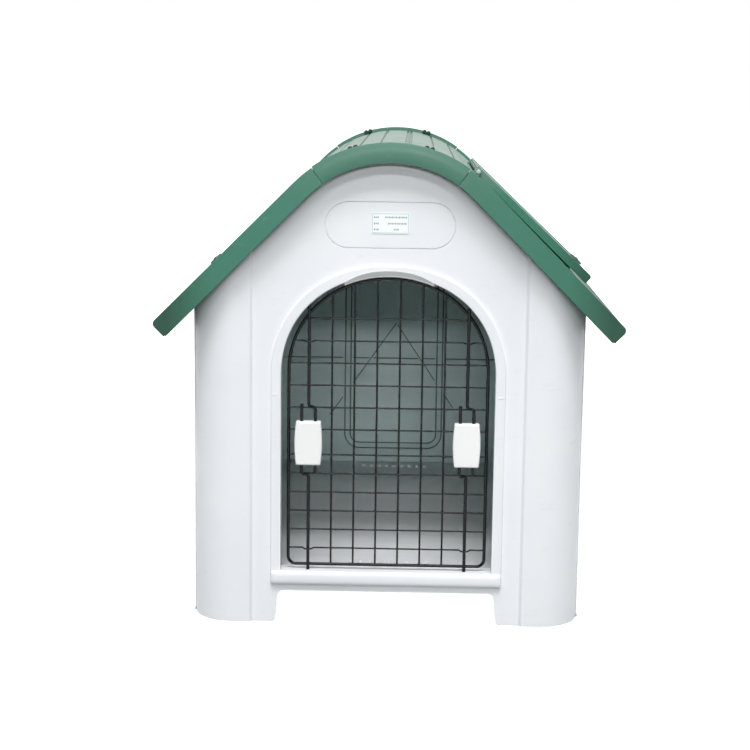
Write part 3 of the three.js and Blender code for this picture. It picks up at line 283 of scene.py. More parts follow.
def bent(corners, radius, steps=6):
    """A path through corner points, with every inner corner rounded."""
    points = [Vector(corner) for corner in corners]
    path = [points[0]]
    for before, corner, after in zip(points, points[1:], points[2:]):
        start = corner + (before - corner).normalized() * radius
        end = corner + (after - corner).normalized() * radius
        for i in range(steps + 1):
            t = i / steps
            path.append(start * (1 - t) ** 2 + corner * 2 * t * (1 - t) + end * t ** 2)
    path.append(points[-1])
    return path


# ---- meshes ----

AXES = {
    "X": Matrix(((0, 0, 1, 0), (1, 0, 0, 0), (0, 1, 0, 0), (0, 0, 0, 1))),
    "Y": Matrix(((1, 0, 0, 0), (0, 0, -1, 0), (0, 1, 0, 0), (0, 0, 0, 1))),
    "Z": Matrix.Identity(4),
}


def slab(loops, low, high, edge=0.001, axis="Y", steps=2):
    """A plate between two places on an axis, with rounded edges. The first loop is its outline, the others
    its holes."""
    curve = bpy.data.curves.new("slab", "CURVE")
    curve.dimensions = "2D"
    curve.fill_mode = "BOTH"
    curve.extrude = (high - low) / 2 - edge
    curve.bevel_depth = edge
    curve.bevel_resolution = steps
    curve.offset = -edge
    for loop in loops:
        spline = curve.splines.new("POLY")
        spline.points.add(len(loop) - 1)
        spline.use_cyclic_u = True
        for point, (x, y) in zip(spline.points, loop):
            point.co = (x, y, 0, 1)
    mesh = mesh_of_curve(curve)
    place = Vector((0, 0, (low + high) / 2 if axis != "Y" else -(low + high) / 2))
    mesh.transform(AXES[axis] @ Matrix.Translation(place))
    return mesh


def mesh_of_curve(curve):
    holder = bpy.data.objects.new("holder", curve)
    mesh = bpy.data.meshes.new_from_object(holder)
    bpy.data.objects.remove(holder)
    bpy.data.curves.remove(curve)
    welded = bmesh.new()
    welded.from_mesh(mesh)
    bmesh.ops.remove_doubles(welded, verts=welded.verts, dist=1e-6)
    bmesh.ops.recalc_face_normals(welded, faces=welded.faces)
    welded.to_mesh(mesh)
    welded.free()
    return mesh


def wires(runs, steps=4):
    """Round wires. A run is its path, its radius, and whether it is a closed ring."""
    curve = bpy.data.curves.new("wires", "CURVE")
    curve.dimensions = "3D"
    curve.fill_mode = "FULL"
    curve.bevel_depth = 1
    curve.bevel_resolution = steps
    curve.use_fill_caps = True
    curve.resolution_u = 1
    for path, radius, ring in runs:
        spline = curve.splines.new("POLY")
        spline.points.add(len(path) - 1)
        spline.use_cyclic_u = ring
        for point, place in zip(spline.points, path):
            point.co = (*place, 1)
            point.radius = radius
    return mesh_of_curve(curve)


def rod_between(start, end, radius):
    return wires([([start, end], radius, False)])


def layered(rings, tunnel=False, crown=None):
    """A closed solid through rings of equal length, each a list of (x, y, z) points. A tunnel has no end
    caps, as its last ring joins its first one. A crown is a point that the last ring closes to."""
    built = bmesh.new()
    loops = [[built.verts.new(point) for point in ring] for ring in rings]
    for lower, upper in zip(loops, loops[1:] + (loops[:1] if tunnel else [])):
        for i in range(len(lower)):
            j = (i + 1) % len(lower)
            built.faces.new((lower[i], lower[j], upper[j], upper[i]))
    if not tunnel:
        built.faces.new(list(reversed(loops[0])))
    if crown:
        peak = built.verts.new(crown)
        for i, vertex in enumerate(loops[-1]):
            built.faces.new((vertex, loops[-1][(i + 1) % len(loops[-1])], peak))
    elif not tunnel:
        built.faces.new(loops[-1])
    bmesh.ops.recalc_face_normals(built, faces=built.faces)
    mesh = bpy.data.meshes.new("layered")
    built.to_mesh(mesh)
    built.free()
    return mesh


def prism(outline, low, high, axis="Y", hole=None):
    """A plate with sharp edges, used where profiles run through and as a tool for cuts. A hole has as many
    points as the outline."""
    def ring_at(points, place):
        return [(x, place, y) if axis == "Y" else (x, y, place) for x, y in points]

    rings = [ring_at(outline, low), ring_at(outline, high)]
    if hole:
        rings += [ring_at(hole, high), ring_at(hole, low)]
    return layered(rings, tunnel=bool(hole))


def dished(outline, layers, axis="Y"):
    """A solid whose convex outline shrinks by an inset at each place on the axis, to round or dish its faces.
    It ends in a fan round the outline's middle."""
    lows = [min(point[i] for point in outline) for i in (0, 1)]
    highs = [max(point[i] for point in outline) for i in (0, 1)]
    middle = [(low + high) / 2 for low, high in zip(lows, highs)]
    half = [(high - low) / 2 for low, high in zip(lows, highs)]

    def placed(x, y, place):
        return (x, place, y) if axis == "Y" else (x, y, place)

    rings = []
    for place, inset in layers:
        scale = [1 - inset / reach for reach in half]
        rings.append([
            placed(middle[0] + (x - middle[0]) * scale[0], middle[1] + (y - middle[1]) * scale[1], place)
            for x, y in outline
        ])
    return layered(rings, crown=placed(*middle, layers[-1][0]))


def circle(radius, steps=40):
    return arc(0, 0, radius, 0, 360 * (1 - 1 / steps), steps - 1)


def dome(radius, height, edge, steps=6):
    """Layers that turn an outline into a button with a rounded rim and a slightly crowned top."""
    layers = [(0, 0), (height - edge, 0)]
    for i in range(1, steps + 1):
        angle = math.pi / 2 * i / steps
        layers.append((height - edge + edge * math.sin(angle), edge * (1 - math.cos(angle))))
    layers.append((height + radius * 0.04, radius * 0.6))
    return layers


def add_to_scene(made):
    bpy.context.scene.collection.objects.link(made)
    return made


def boolean(base, tools, operation="DIFFERENCE"):
    """The base mesh with each tool mesh cut from it, or kept in common with it."""
    for tool in tools:
        holder = add_to_scene(bpy.data.objects.new("base", base))
        cutter = add_to_scene(bpy.data.objects.new("tool", tool))
        change = holder.modifiers.new("cut", "BOOLEAN")
        change.operation = operation
        change.solver = "MANIFOLD"
        change.object = cutter
        graph = bpy.context.evaluated_depsgraph_get()
        base = bpy.data.meshes.new_from_object(holder.evaluated_get(graph))
        for thing in (holder, cutter):
            bpy.data.objects.remove(thing)
    return base


def bevelled(mesh, width, degrees=50, segments=3):
    """The mesh with its sharp edges rounded."""
    built = bmesh.new()
    built.from_mesh(mesh)
    bmesh.ops.remove_doubles(built, verts=built.verts, dist=2e-6)
    bmesh.ops.dissolve_limit(built, angle_limit=math.radians(0.5), verts=built.verts, edges=built.edges)
    limit = math.radians(degrees)
    sharp = [e for e in built.edges if len(e.link_faces) == 2 and e.calc_face_angle(0) > limit]
    bmesh.ops.bevel(
        built, geom=sharp, offset=width, offset_type="OFFSET", segments=segments, profile=0.5,
        affect="EDGES", clamp_overlap=False,
    )
    built.to_mesh(mesh)
    built.free()
    return mesh


def combined(name, parts):
    built = bmesh.new()
    for part in parts:
        built.from_mesh(part)
    mesh = bpy.data.meshes.new(name)
    built.to_mesh(mesh)
    built.free()
    return mesh


def mirror(parts):
    """Turns the parts of the right side into those of the left side."""
    for part in parts:
        part.transform(Matrix.Scale(-1, 4, (1, 0, 0)))
        part.flip_normals()


def piece(name, parts, material, body, replaces=(), smooth=40):
    """Makes one object of the kennel from its parts, smooth except at edges sharper than an angle."""
    mesh = combined(name, parts)
    mesh.shade_smooth()
    mesh.set_sharp_from_angle(angle=math.radians(smooth))
    mesh.materials.append(material)
    made = add_to_scene(bpy.data.objects.new(name, mesh))
    weigh = made.modifiers.new("weighted_normals", "WEIGHTED_NORMAL")
    weigh.keep_sharp = True
    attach(made, body)
    if replaces:
        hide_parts(*replaces)
    return made


# ---- materials ----

# Painted shade for the grooves on the rear wall's inner face.
PAINTED_GROOVE_SHADE = srgb(112, 128, 127)
# Boxes round the kennel's inside, which is painted with the green tint of light bounced from the roof.
PAINTED_BOUNCE_BOXES = ((0.262, -0.370, 0.4030), (0.3015, -0.345, 0.345))
REAR_GROOVES_HALF_WIDTH = 0.254
REAR_GROOVES_Y = (0.3985, 0.4025)
REAR_GROOVES_Z = (0.088, 0.516)


class Nodes:
    """A material's node tree, with short calls for the nodes that the materials share."""

    def __init__(self, name):
        self.material = bpy.data.materials.new(name)
        self.material.use_nodes = True
        self.tree = self.material.node_tree
        self.shader = self.tree.nodes["Principled BSDF"]
        self.place = self.tree.nodes.new("ShaderNodeTexCoord").outputs["Object"]

    def link(self, source, target):
        self.tree.links.new(source, target)

    def noise(self, scale, detail=3, roughness=0.5, stretch=None):
        place = self.place
        if stretch:
            mapping = self.tree.nodes.new("ShaderNodeMapping")
            mapping.inputs["Scale"].default_value = stretch
            self.link(place, mapping.inputs["Vector"])
            place = mapping.outputs["Vector"]
        node = self.tree.nodes.new("ShaderNodeTexNoise")
        node.inputs["Scale"].default_value = scale
        node.inputs["Detail"].default_value = detail
        node.inputs["Roughness"].default_value = roughness
        self.link(place, node.inputs["Vector"])
        return node.outputs["Fac"]

    def spread(self, value, low_in, high_in, low_out, high_out):
        node = self.tree.nodes.new("ShaderNodeMapRange")
        for socket, number in zip(node.inputs[1:5], (low_in, high_in, low_out, high_out)):
            socket.default_value = number
        self.link(value, node.inputs["Value"])
        return node.outputs["Result"]

    def mix(self, factor, first, second):
        node = self.tree.nodes.new("ShaderNodeMix")
        node.data_type = "RGBA"
        self.link(factor, node.inputs["Factor"])
        for value, socket in ((first, node.inputs[6]), (second, node.inputs[7])):
            if isinstance(value, tuple):
                socket.default_value = value
            else:
                self.link(value, socket)
        return node.outputs[2]

    def along(self, axis):
        split = self.tree.nodes.new("ShaderNodeSeparateXYZ")
        self.link(self.place, split.inputs["Vector"])
        return split.outputs[axis]

    def within(self, axis, low, high):
        """1 between two places on an axis and 0 outside them."""
        place = self.along(axis)
        past_low = self.spread(place, low - 0.001, low, 0, 1)
        before_high = self.spread(place, high, high + 0.001, 1, 0)
        return self.product(past_low, before_high)

    def product(self, first, second):
        node = self.tree.nodes.new("ShaderNodeMath")
        node.operation = "MULTIPLY"
        self.link(first, node.inputs[0])
        self.link(second, node.inputs[1])
        return node.outputs["Value"]

    def bump(self, value, strength, distance, under=None):
        node = self.tree.nodes.new("ShaderNodeBump")
        node.inputs["Strength"].default_value = strength
        node.inputs["Distance"].default_value = distance
        self.link(value, node.inputs["Height"])
        if under:
            self.link(under, node.inputs["Normal"])
        return node.outputs["Normal"]

    def finish(self, colour, roughness, normal):
        self.link(colour, self.shader.inputs["Base Color"])
        self.link(roughness, self.shader.inputs["Roughness"])
        self.link(normal, self.shader.inputs["Normal"])
        return self.material


def moulded_plastic(
    name, deep, pale, scuff, roughness=(0.40, 0.52), grain=0.25,
    dust=None, painted_end_shade=None, painted_sheen=None, inside=None,
):
    """Injection moulded plastic: slow shade changes, a fine grain, flow ripple and rubbed marks. Dust gathers
    low down. Painted shade darkens the outer ends of a wide piece, and a painted sheen of the bright backdrop
    lightens the roof near the ridge. The inside is painted with the green tint of light bounced from the
    roof, and the grooves of the rear wall with darker painted shade. The sheen and both inside tones are
    tuned to the photograph."""
    nodes = Nodes(name)
    nodes.shader.inputs["Specular IOR Level"].default_value = 0.25
    shade = nodes.spread(nodes.noise(3.1, 4, 0.55), 0.3, 0.7, 0, 1)
    colour = nodes.mix(shade, deep, pale)
    rubbed = nodes.spread(nodes.noise(26, 8, 0.68, (1, 1, 2.2)), 0.60, 0.74, 0, 0.35)
    colour = nodes.mix(rubbed, colour, scuff)
    specks = nodes.spread(nodes.noise(310, 2, 0.5), 0.74, 0.80, 0, 0.35)
    colour = nodes.mix(specks, colour, scuff)
    if dust:
        low = nodes.spread(nodes.along("Z"), 0.0, 0.09, 0.10, 0)
        patches = nodes.spread(nodes.noise(19, 6, 0.65), 0.35, 0.75, 0, 1)
        colour = nodes.mix(nodes.product(low, patches), colour, dust)
    # Painted shade: the outer ends of a wide piece are darkened.
    if painted_end_shade:
        for low, high in ((0.270, 0.340), (-0.270, -0.340)):
            outward = nodes.spread(nodes.along("X"), low, high, 0, 0.9)
            colour = nodes.mix(outward, colour, painted_end_shade)
    # Painted sheen: a pale reflection of the bright backdrop on the roof top near the ridge, a quarter as
    # strong on the end lips.
    if painted_sheen:
        between = nodes.spread(nodes.within("Y", -0.4285, 0.4285), 0, 1, 0.25, 1)
        high = nodes.spread(nodes.along("Z"), 0.66, 0.73, 0, 0.5)
        colour = nodes.mix(nodes.product(high, between), colour, painted_sheen)
    # Painted light: the inside takes the green tint of light bounced from the roof.
    if inside:
        for half_x, front_y, back_y in PAINTED_BOUNCE_BOXES:
            room = nodes.product(nodes.within("X", -half_x, half_x), nodes.within("Y", front_y, back_y))
            colour = nodes.mix(room, colour, inside)
        # Painted shade: the grooves of the rear wall are darkened.
        across = nodes.within("X", -REAR_GROOVES_HALF_WIDTH, REAR_GROOVES_HALF_WIDTH)
        groove_shade_mask = nodes.product(across, nodes.within("Y", *REAR_GROOVES_Y))
        groove_shade_mask = nodes.product(groove_shade_mask, nodes.within("Z", *REAR_GROOVES_Z))
        colour = nodes.mix(groove_shade_mask, colour, PAINTED_GROOVE_SHADE)
    dull = nodes.spread(nodes.noise(14, 5, 0.6), 0.3, 0.7, *roughness)
    ripple = nodes.bump(nodes.noise(9, 2, 0.4), 0.10, 0.004)
    fine = nodes.bump(nodes.noise(1100, 2, 0.5), grain, 0.0002, ripple)
    return nodes.finish(colour, dull, fine)


def fine_surface(name, first, second, flecks, dull, skin, settings=None, share=None):
    """A surface of two mixed colours. Flecks is the scale, detail and roughness of the noise that mixes
    them, and share the ranges that it is spread from and to. Dull is the scale of the roughness noise and its
    two values. Skin is the scale, detail, strength and distance of the bump. Settings are values of other
    shader sockets."""
    nodes = Nodes(name)
    mixing = nodes.noise(*flecks)
    if share:
        mixing = nodes.spread(mixing, *share)
    colour = nodes.mix(mixing, first, second)
    dull_scale, *dull_range = dull
    roughness = nodes.spread(nodes.noise(dull_scale, 3), 0.3, 0.7, *dull_range)
    skin_scale, skin_detail, strength, distance = skin
    normal = nodes.bump(nodes.noise(skin_scale, skin_detail), strength, distance)
    for socket, value in (settings or {}).items():
        nodes.shader.inputs[socket].default_value = value
    return nodes.finish(colour, roughness, normal)


def printed_film(name, first, second):
    """Paper film or ink on it: faint fibres and an uneven, slightly dull surface."""
    return fine_surface(name, first, second, (420, 5, 0.7), (60, 0.45, 0.62), (1500, 3, 0.15, 0.0001))


# White plastic, with dust low down and its inside painted with the green tint of light bounced from the roof.
WHITE = moulded_plastic(
    "white_plastic", srgb(226, 230, 234), srgb(236, 239, 242), srgb(214, 218, 221),
    dust=srgb(196, 194, 188), inside=srgb(212, 231, 230),
)
# Green plastic, darkened by painted shade at the outer ends and given a painted sheen near the ridge.
GREEN = moulded_plastic(
    "green_plastic", srgb(54, 110, 91), srgb(63, 121, 102), srgb(98, 150, 132), (0.30, 0.40),
    painted_end_shade=srgb(26, 66, 50), painted_sheen=srgb(150, 160, 152),
)
DARK_GREEN = moulded_plastic("dark_green_plastic", srgb(12, 52, 36), srgb(20, 64, 46), srgb(48, 98, 78))
GREY_FLOOR = moulded_plastic(
    "grey_floor_plastic", srgb(224, 226, 229), srgb(233, 235, 237), srgb(182, 185, 184),
    dust=srgb(186, 184, 178),
)
KNOB_GREY = moulded_plastic("knob_plastic", srgb(72, 86, 80), srgb(86, 99, 93), srgb(140, 150, 145))
PIN_GREY = moulded_plastic("pin_plastic", srgb(176, 184, 182), srgb(196, 202, 200), srgb(150, 158, 155))
GRIP_WHITE = moulded_plastic(
    "grip_plastic", srgb(236, 237, 237), srgb(243, 243, 243), srgb(222, 222, 221), (0.28, 0.4), 0.12,
)
# An orange-peel skin with a soft sheen, rubbed to grey in places.
BLACK_WIRE = fine_surface(
    "black_powder_coat", srgb(6, 8, 9), srgb(38, 44, 46), (90, 6, 0.7), (60, 0.18, 0.28),
    (700, 2, 0.2, 0.0002), {"Specular IOR Level": 0.2}, (0.62, 0.80, 0, 0.5),
)
SPRING = fine_surface(
    "spring_steel", srgb(150, 152, 154), srgb(196, 197, 198), (160, 4), (220, 0.22, 0.4),
    (900, 2, 0.15, 0.0001), {"Metallic": 1},
)
# Frosted translucent plastic for the stop tab.
MILKY = fine_surface(
    "milky_plastic", srgb(158, 162, 163), srgb(174, 178, 179), (40, 4), (70, 0.3, 0.45),
    (800, 2, 0.2, 0.0002), {"Transmission Weight": 0.2, "IOR": 1.49},
)
LABEL = printed_film("label_film", srgb(246, 249, 249), srgb(238, 243, 243))
LABEL_TEAL = printed_film("label_teal_ink", srgb(160, 204, 203), srgb(176, 212, 211))
LABEL_INK = printed_film("label_grey_ink", srgb(122, 134, 138), srgb(144, 154, 158))
# Matt white that glows enough to stay as bright as the backdrop.
FLOOR_PAINT = fine_surface(
    "floor_paint", srgb(225, 225, 225), srgb(230, 230, 230), (1.5, 3), (4, 0.85, 0.95), (30, 2, 0.02, 0.001),
    {"Emission Color": (1, 1, 1, 1), "Emission Strength": 0.75},
)


# ---- walls ----

def gable_plan():
    """The right part of a gable wall's outer face in plan, from its ogee to the side seam, with the face at
    +Y. The left part mirrors it, and a straight line joins them."""
    ogee = []
    for i in range(OGEE_STEPS + 1):
        t = i / OGEE_STEPS
        rise = t * t * (3 - 2 * t)
        ogee.append((OGEE_START_X + (OGEE_END_X - OGEE_START_X) * t, WALL_FACE_Y + PILLAR_PROUD * rise))
    corner_y = WALL_FACE_Y + PILLAR_PROUD - CORNER_RADIUS
    corner = arc(PILLAR_OUTER_X, corner_y, CORNER_RADIUS, 90, 0, 20)
    return [*ogee, *corner, (WALL_HALF_WIDTH, SEAM_Y)]


def offset_path(points, distance):
    """An open path moved to its right-hand side as it runs."""
    moved = []
    for i, point in enumerate(points):
        here = Vector(point)
        before = (here - Vector(points[max(i - 1, 0)])).normalized()
        after = (Vector(points[min(i + 1, len(points) - 1)]) - here).normalized()
        along = (before + after).normalized()
        across = Vector((along.y, -along.x))
        reach = distance / max(across.dot(Vector((after.y, -after.x))) if after.length else 1, 0.5)
        moved.append(tuple(here + across * reach))
    return moved


def under_roof(gap):
    """The underside of both slopes, from right to left."""
    h = ROOF_UNDERSIDE - gap
    edge = slope_point((WALL_EDGE_X - SLOPE_X) / DIAGONAL - h, h)
    top = [arc_point(degrees, h) for degrees in range(45, -46, -3)]
    return [edge, *top, (-edge[0], edge[1])]


def foot_gap_path():
    """The cut-out between two feet, from left to right, with rounded corners above and below."""
    toe = 0.005
    top = 0.010
    left = [
        *arc(-FOOT_GAP_HALF_WIDTH - FOOT_GAP_FLARE - toe, toe, toe, -90, -6, 5),
        *arc(-FOOT_GAP_HALF_WIDTH + top, FOOT_GAP_HEIGHT - top, top, 174, 90, 6),
    ]
    right = [(-x, z) for x, z in reversed(left)]
    return [*left, *right]


def gable_shell(sign, openings):
    """The upright shell of a gable wall, trimmed to the roof and the foot gap. The sign is -1 in front and
    1 behind."""
    outer = gable_plan()
    inner = offset_path(outer, WALL)
    full_outer = [*[(-x, y) for x, y in reversed(outer)], *outer]
    full_inner = [*[(-x, y) for x, y in reversed(inner)], *inner]
    plan = [(x, sign * y) for x, y in [*full_outer, *reversed(full_inner)]]
    shell = prism(plan, -0.02, RIDGE_Z, "Z")
    keep = [*under_roof(JOINT_GAP), (-WALL_EDGE_X, 0), *foot_gap_path(), (WALL_EDGE_X, 0)]
    near, far = sorted((sign * 0.30, sign * 0.45))
    shell = boolean(shell, [prism(keep, near, far)], "INTERSECT")
    return boolean(shell, [prism(opening, near, far) for opening in openings])


def sill_parts():
    """The soft bar under the doorway, and the ledge behind it that carries the floor's front edge."""
    face = -WALL_FACE_Y
    top = DOORWAY_BOTTOM_Z
    side = DOORWAY_HALF_WIDTH + BORDER_WIDTH
    outline = rounded_rectangle(-side, side, BORDER_BOTTOM_Z, top + 0.0004, BORDER_CORNER)
    swell = [
        (0.003, 0), (-0.0034, 0), (-0.0048, 0.0004), (-0.0060, 0.0013),
        (-0.0069, 0.0026), (-0.0076, 0.0045), (-0.0080, 0.0070), (-0.0081, 0.0095),
    ]
    ledge_back = FLOOR_FRONT_Y - 0.0006
    ledge = [
        (face - 0.0005, top - 0.0006),
        (ledge_back, top - 0.0006),
        (ledge_back, top - WALL),
        (face - 0.0005, top - WALL),
    ]
    seat = [
        (ledge_back - 0.004, SEAT_Z + 0.004),
        (ledge_back - 0.0002, SEAT_Z + 0.004),
        (ledge_back - 0.0002, SEAT_Z),
        (ledge_back + SEAT_REACH, SEAT_Z),
        (ledge_back + SEAT_REACH, SEAT_Z - WALL),
        (ledge_back - 0.004, SEAT_Z - WALL),
    ]
    inside = DOORWAY_HALF_WIDTH + 0.001
    return [
        dished(outline, [(face + forward, inset) for forward, inset in swell]),
        boolean(slab([ledge], -inside, inside, 0.0004, "X", 1), rod_bores(*SILL_BORE)),
        slab([seat], -inside, inside, 0.0004, "X", 1),
    ]


def rod_bores(low_z, high_z):
    """Tools that cut the holes for both pairs of latch rods."""
    return [prism(arc(x, ROD_Y, ROD_BORE_RADIUS, 0, 350, 35), low_z, high_z, "Z") for x in (-ROD_X, ROD_X)]


def front_wall():
    face = -WALL_FACE_Y
    shell = gable_shell(-1, [doorway_outline(0.003, DOORWAY_BOTTOM_Z - 0.003)])
    panel = stadium(0.100, 0.593, 0.6646)
    groove = prism(panel, face - 0.003, face + 0.0026, hole=stadium(0.0987, 0.5943, 0.6633))
    shell = bevelled(boolean(shell, [groove]), 0.0005, segments=2)
    side = DOORWAY_HALF_WIDTH + BORDER_WIDTH
    top = superellipse_arch(side, DOORWAY_SPRING_Z, DOORWAY_ARCH + BORDER_WIDTH, DOORWAY_SQUARENESS)
    border_outline = [*top, *bottom_corners(side, BORDER_BOTTOM_Z, BORDER_CORNER, 6)]
    doorway = doorway_outline(0, DOORWAY_BOTTOM_Z)
    border = slab([border_outline, doorway], face - BORDER_PROUD, face + 0.003, 0.002, steps=4)
    reveal = slab(
        [doorway_outline(WALL, DOORWAY_BOTTOM_Z - WALL), doorway_outline(0.0004, DOORWAY_BOTTOM_Z)],
        face - 0.001, REVEAL_BACK_Y, 0.001,
    )
    reveal = boolean(reveal, [*rod_bores(*ARCH_BORE), *rod_bores(*SILL_BORE)])
    dents = [
        slab([rounded_rectangle(x - 0.0055, x + 0.0055, 0.3635, 0.3665, 0.0014, 3)],
             face - BORDER_PROUD - 0.0004, face, 0.0003)
        for x in (-0.175, 0.175)
    ]
    parts = [shell, border, reveal, *sill_parts(), *dents, *corner_soles(-1)]
    return piece("front_wall", parts, WHITE, "house", ["front_panel"])


def corner_soles(sign):
    """A flat foot inside each rounded corner."""
    inner = offset_path(gable_plan(), WALL - 0.0004)[OGEE_STEPS + 1:]
    foot = [*inner, (WALL_HALF_WIDTH - 0.034, SEAM_Y), (0.216, SEAM_Y + 0.04)]
    return [
        slab([[(side * x, sign * y) for x, y in foot]], 0.0002, WALL, 0.0005, "Z", 1)
        for side in (-1, 1)
    ]


def strip(start, end, width):
    """A thin straight outline between two points."""
    start = Vector(start)
    end = Vector(end)
    run = (end - start).normalized()
    side = Vector((run.y, -run.x)) * width / 2
    return [tuple(point) for point in (start - side, start + side, end + side, end - side)]


def rear_wall():
    """The rear wall, whose inner face has fine grooves: a blind doorway, a step line and a gable sign."""
    inner_y = WALL_FACE_Y - WALL
    shell = bevelled(gable_shell(1, []), 0.0006, segments=2)
    groove = 0.0027
    step_z = 0.2970
    blind = [
        rounded_rectangle(-0.0985 + inset, 0.0985 - inset, 0.112 + inset, 0.481 - inset, 0.030 - inset)
        for inset in (0, groove, 0.0110, 0.0110 + groove)
    ]
    apex = (0.004, 0.368)
    sign_runs = (
        (apex, (-0.0820, 0.2449)), ((-0.1015, 0.2169), (-0.128, 0.179)),
        ((0.0063, 0.3648), (0.0820, 0.2530)), ((0.1015, 0.2243), (0.120, 0.197)),
    )
    signs = [strip(start, end, groove * 0.8) for start, end in sign_runs]
    step_runs = ((-0.252, -0.1015), (-0.0825, -0.0490), (-0.0422, 0.0488), (0.0556, 0.0825), (0.1015, 0.252))
    steps = [strip((start, step_z), (end, step_z), groove) for start, end in step_runs]
    liner = [rounded_rectangle(-0.256, 0.256, 0.086, 0.520, 0.003, 2), *blind, *signs, *steps]
    seat_section = rectangle(inner_y - SEAT_REACH, inner_y + 0.001, SEAT_Z - WALL, SEAT_Z)
    seat = slab([seat_section], -0.2, 0.2, 0.0006, "X")
    parts = [shell, seat, *corner_soles(1), slab(liner, inner_y - 0.0060, inner_y + 0.0005, 0.0003, steps=1)]
    return piece("rear_wall", parts, WHITE, "house", ["rear_panel"])


LOUVRE_YS = (-0.210, -0.175, -0.140, 0.140, 0.175, 0.210)
LOUVRE_HOOD = 0.0035
TONGUE_LOW_Z = 0.100
TONGUE_HIGH_Z = 0.440


def louvre_outline(y, margin=0):
    half = 0.008 + margin
    return rounded_rectangle(y - half, y + half, 0.395 - margin, 0.435 + margin, 0.0079 + margin, 8)


def side_wall(side):
    name = "left" if side < 0 else "right"
    outer_x = WALL_HALF_WIDTH
    inner_x = outer_x - WALL
    half_y = SEAM_Y - JOINT_GAP
    eave_s = (inner_x - SLOPE_X) / DIAGONAL - ROOF_UNDERSIDE + JOINT_GAP
    top_z = slope_point(eave_s, ROOF_UNDERSIDE - JOINT_GAP)[1] - WALL
    notch_z = 0.494
    notch = 0.022
    outline = [
        (half_y, 0), (half_y, top_z), (notch, top_z), (notch, notch_z), (-notch, notch_z), (-notch, top_z),
        (-half_y, top_z), (-half_y, 0), *foot_gap_path(),
    ]
    sheet = slab([outline, *[louvre_outline(y) for y in LOUVRE_YS]], inner_x, outer_x, 0.0008, "X")
    hoods = []
    for y in LOUVRE_YS:
        loops = [louvre_outline(y, LOUVRE_HOOD), louvre_outline(y)]
        hoods.append(slab(loops, outer_x - 0.001, outer_x + 0.0018, 0.0012, "X"))
    rail_loops = [
        rounded_rectangle(-0.300, 0.300, 0.110, 0.370, 0.030),
        rounded_rectangle(-0.286, 0.286, 0.124, 0.356, 0.018),
    ]
    rail = slab(rail_loops, outer_x - 0.001, outer_x + 0.003, 0.002, "X")
    seat_plan = rectangle(inner_x - SEAT_REACH, inner_x + 0.001, -0.33, 0.33)
    seat = slab([seat_plan], SEAT_Z - WALL, SEAT_Z, 0.0006, "Z")
    tongues = []
    for end in (-1, 1):
        near = end * (SEAM_Y - 0.030)
        far = end * (SEAM_Y + 0.014)
        leaf = rectangle(*sorted((near, far)), TONGUE_LOW_Z, TONGUE_HIGH_Z)
        tongues.append(slab([leaf], inner_x - 0.005, inner_x - 0.002, 0.0006, "X"))
        web = rectangle(*sorted((near, end * half_y)), TONGUE_LOW_Z, TONGUE_HIGH_Z)
        tongues.append(slab([web], inner_x - 0.004, inner_x + 0.001, 0.0006, "X"))
    parts = [sheet, *hoods, rail, seat, *tongues]
    if side < 0:
        mirror(parts)
    return piece(f"side_wall_{name}", parts, WHITE, "house", [f"side_panel_{name}"])


def floor_sheet():
    low_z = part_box("floor_tray")[0].z
    under = FLOOR_TOP_Z - 0.006
    edge_x = WALL_HALF_WIDTH - WALL - 0.0006
    front = 0.050
    back = 0.060
    outline = [
        *arc(edge_x - back, FLOOR_BACK_Y - back, back, 0, 90, 12),
        *arc(-edge_x + back, FLOOR_BACK_Y - back, back, 90, 180, 12),
        *bottom_corners(edge_x, FLOOR_FRONT_Y, front, 12),
    ]
    slots = []
    for y in (-0.352, 0.362):
        for i in range(-4, 5):
            x = i * 0.015 + 0.004
            slots.append(rounded_rectangle(x - 0.003, x + 0.003, y - 0.008, y + 0.008, 0.0028, 4))
    sheet = slab([outline, *slots], under, FLOOR_TOP_Z, 0.0012, "Z")
    lengthwise = (-0.225, -0.135, -0.045, 0.045, 0.135, 0.225)
    plans = [rectangle(x - 0.003, x + 0.003, -0.33, 0.35) for x in lengthwise]
    plans += [rectangle(-0.24, 0.24, y - 0.003, y + 0.003) for y in (-0.300, 0, 0.320)]
    ribs = [slab([plan], low_z, under + 0.001, 0.0008, "Z", 1) for plan in plans]
    return piece("floor_sheet", [sheet, *ribs], GREY_FLOOR, "house", ["floor_tray"])


# ---- roof ----

def groove_steps(width, depth):
    """Offsets across a plank groove and how deep it is there."""
    shape = ((-1 / 2, 0), (-1 / 3, 0.75), (0, 1), (1 / 3, 0.75), (1 / 2, 0))
    return [(width * across, depth * deep) for across, deep in shape]


def plank_profile(place, start, end, grooves, top):
    """The top of a planked plate, from (distance, height) points turned into places."""
    points = [place(start, top)]
    for middle in grooves:
        for across, deep in groove_steps(GROOVE_WIDTH, GROOVE_DEPTH):
            points.append(place(middle + across, top - deep))
    points.append(place(end, top))
    return points


def plank_grooves(first, limit):
    places = []
    while first < limit:
        places.append(first)
        first += PLANK_PITCH
    return places


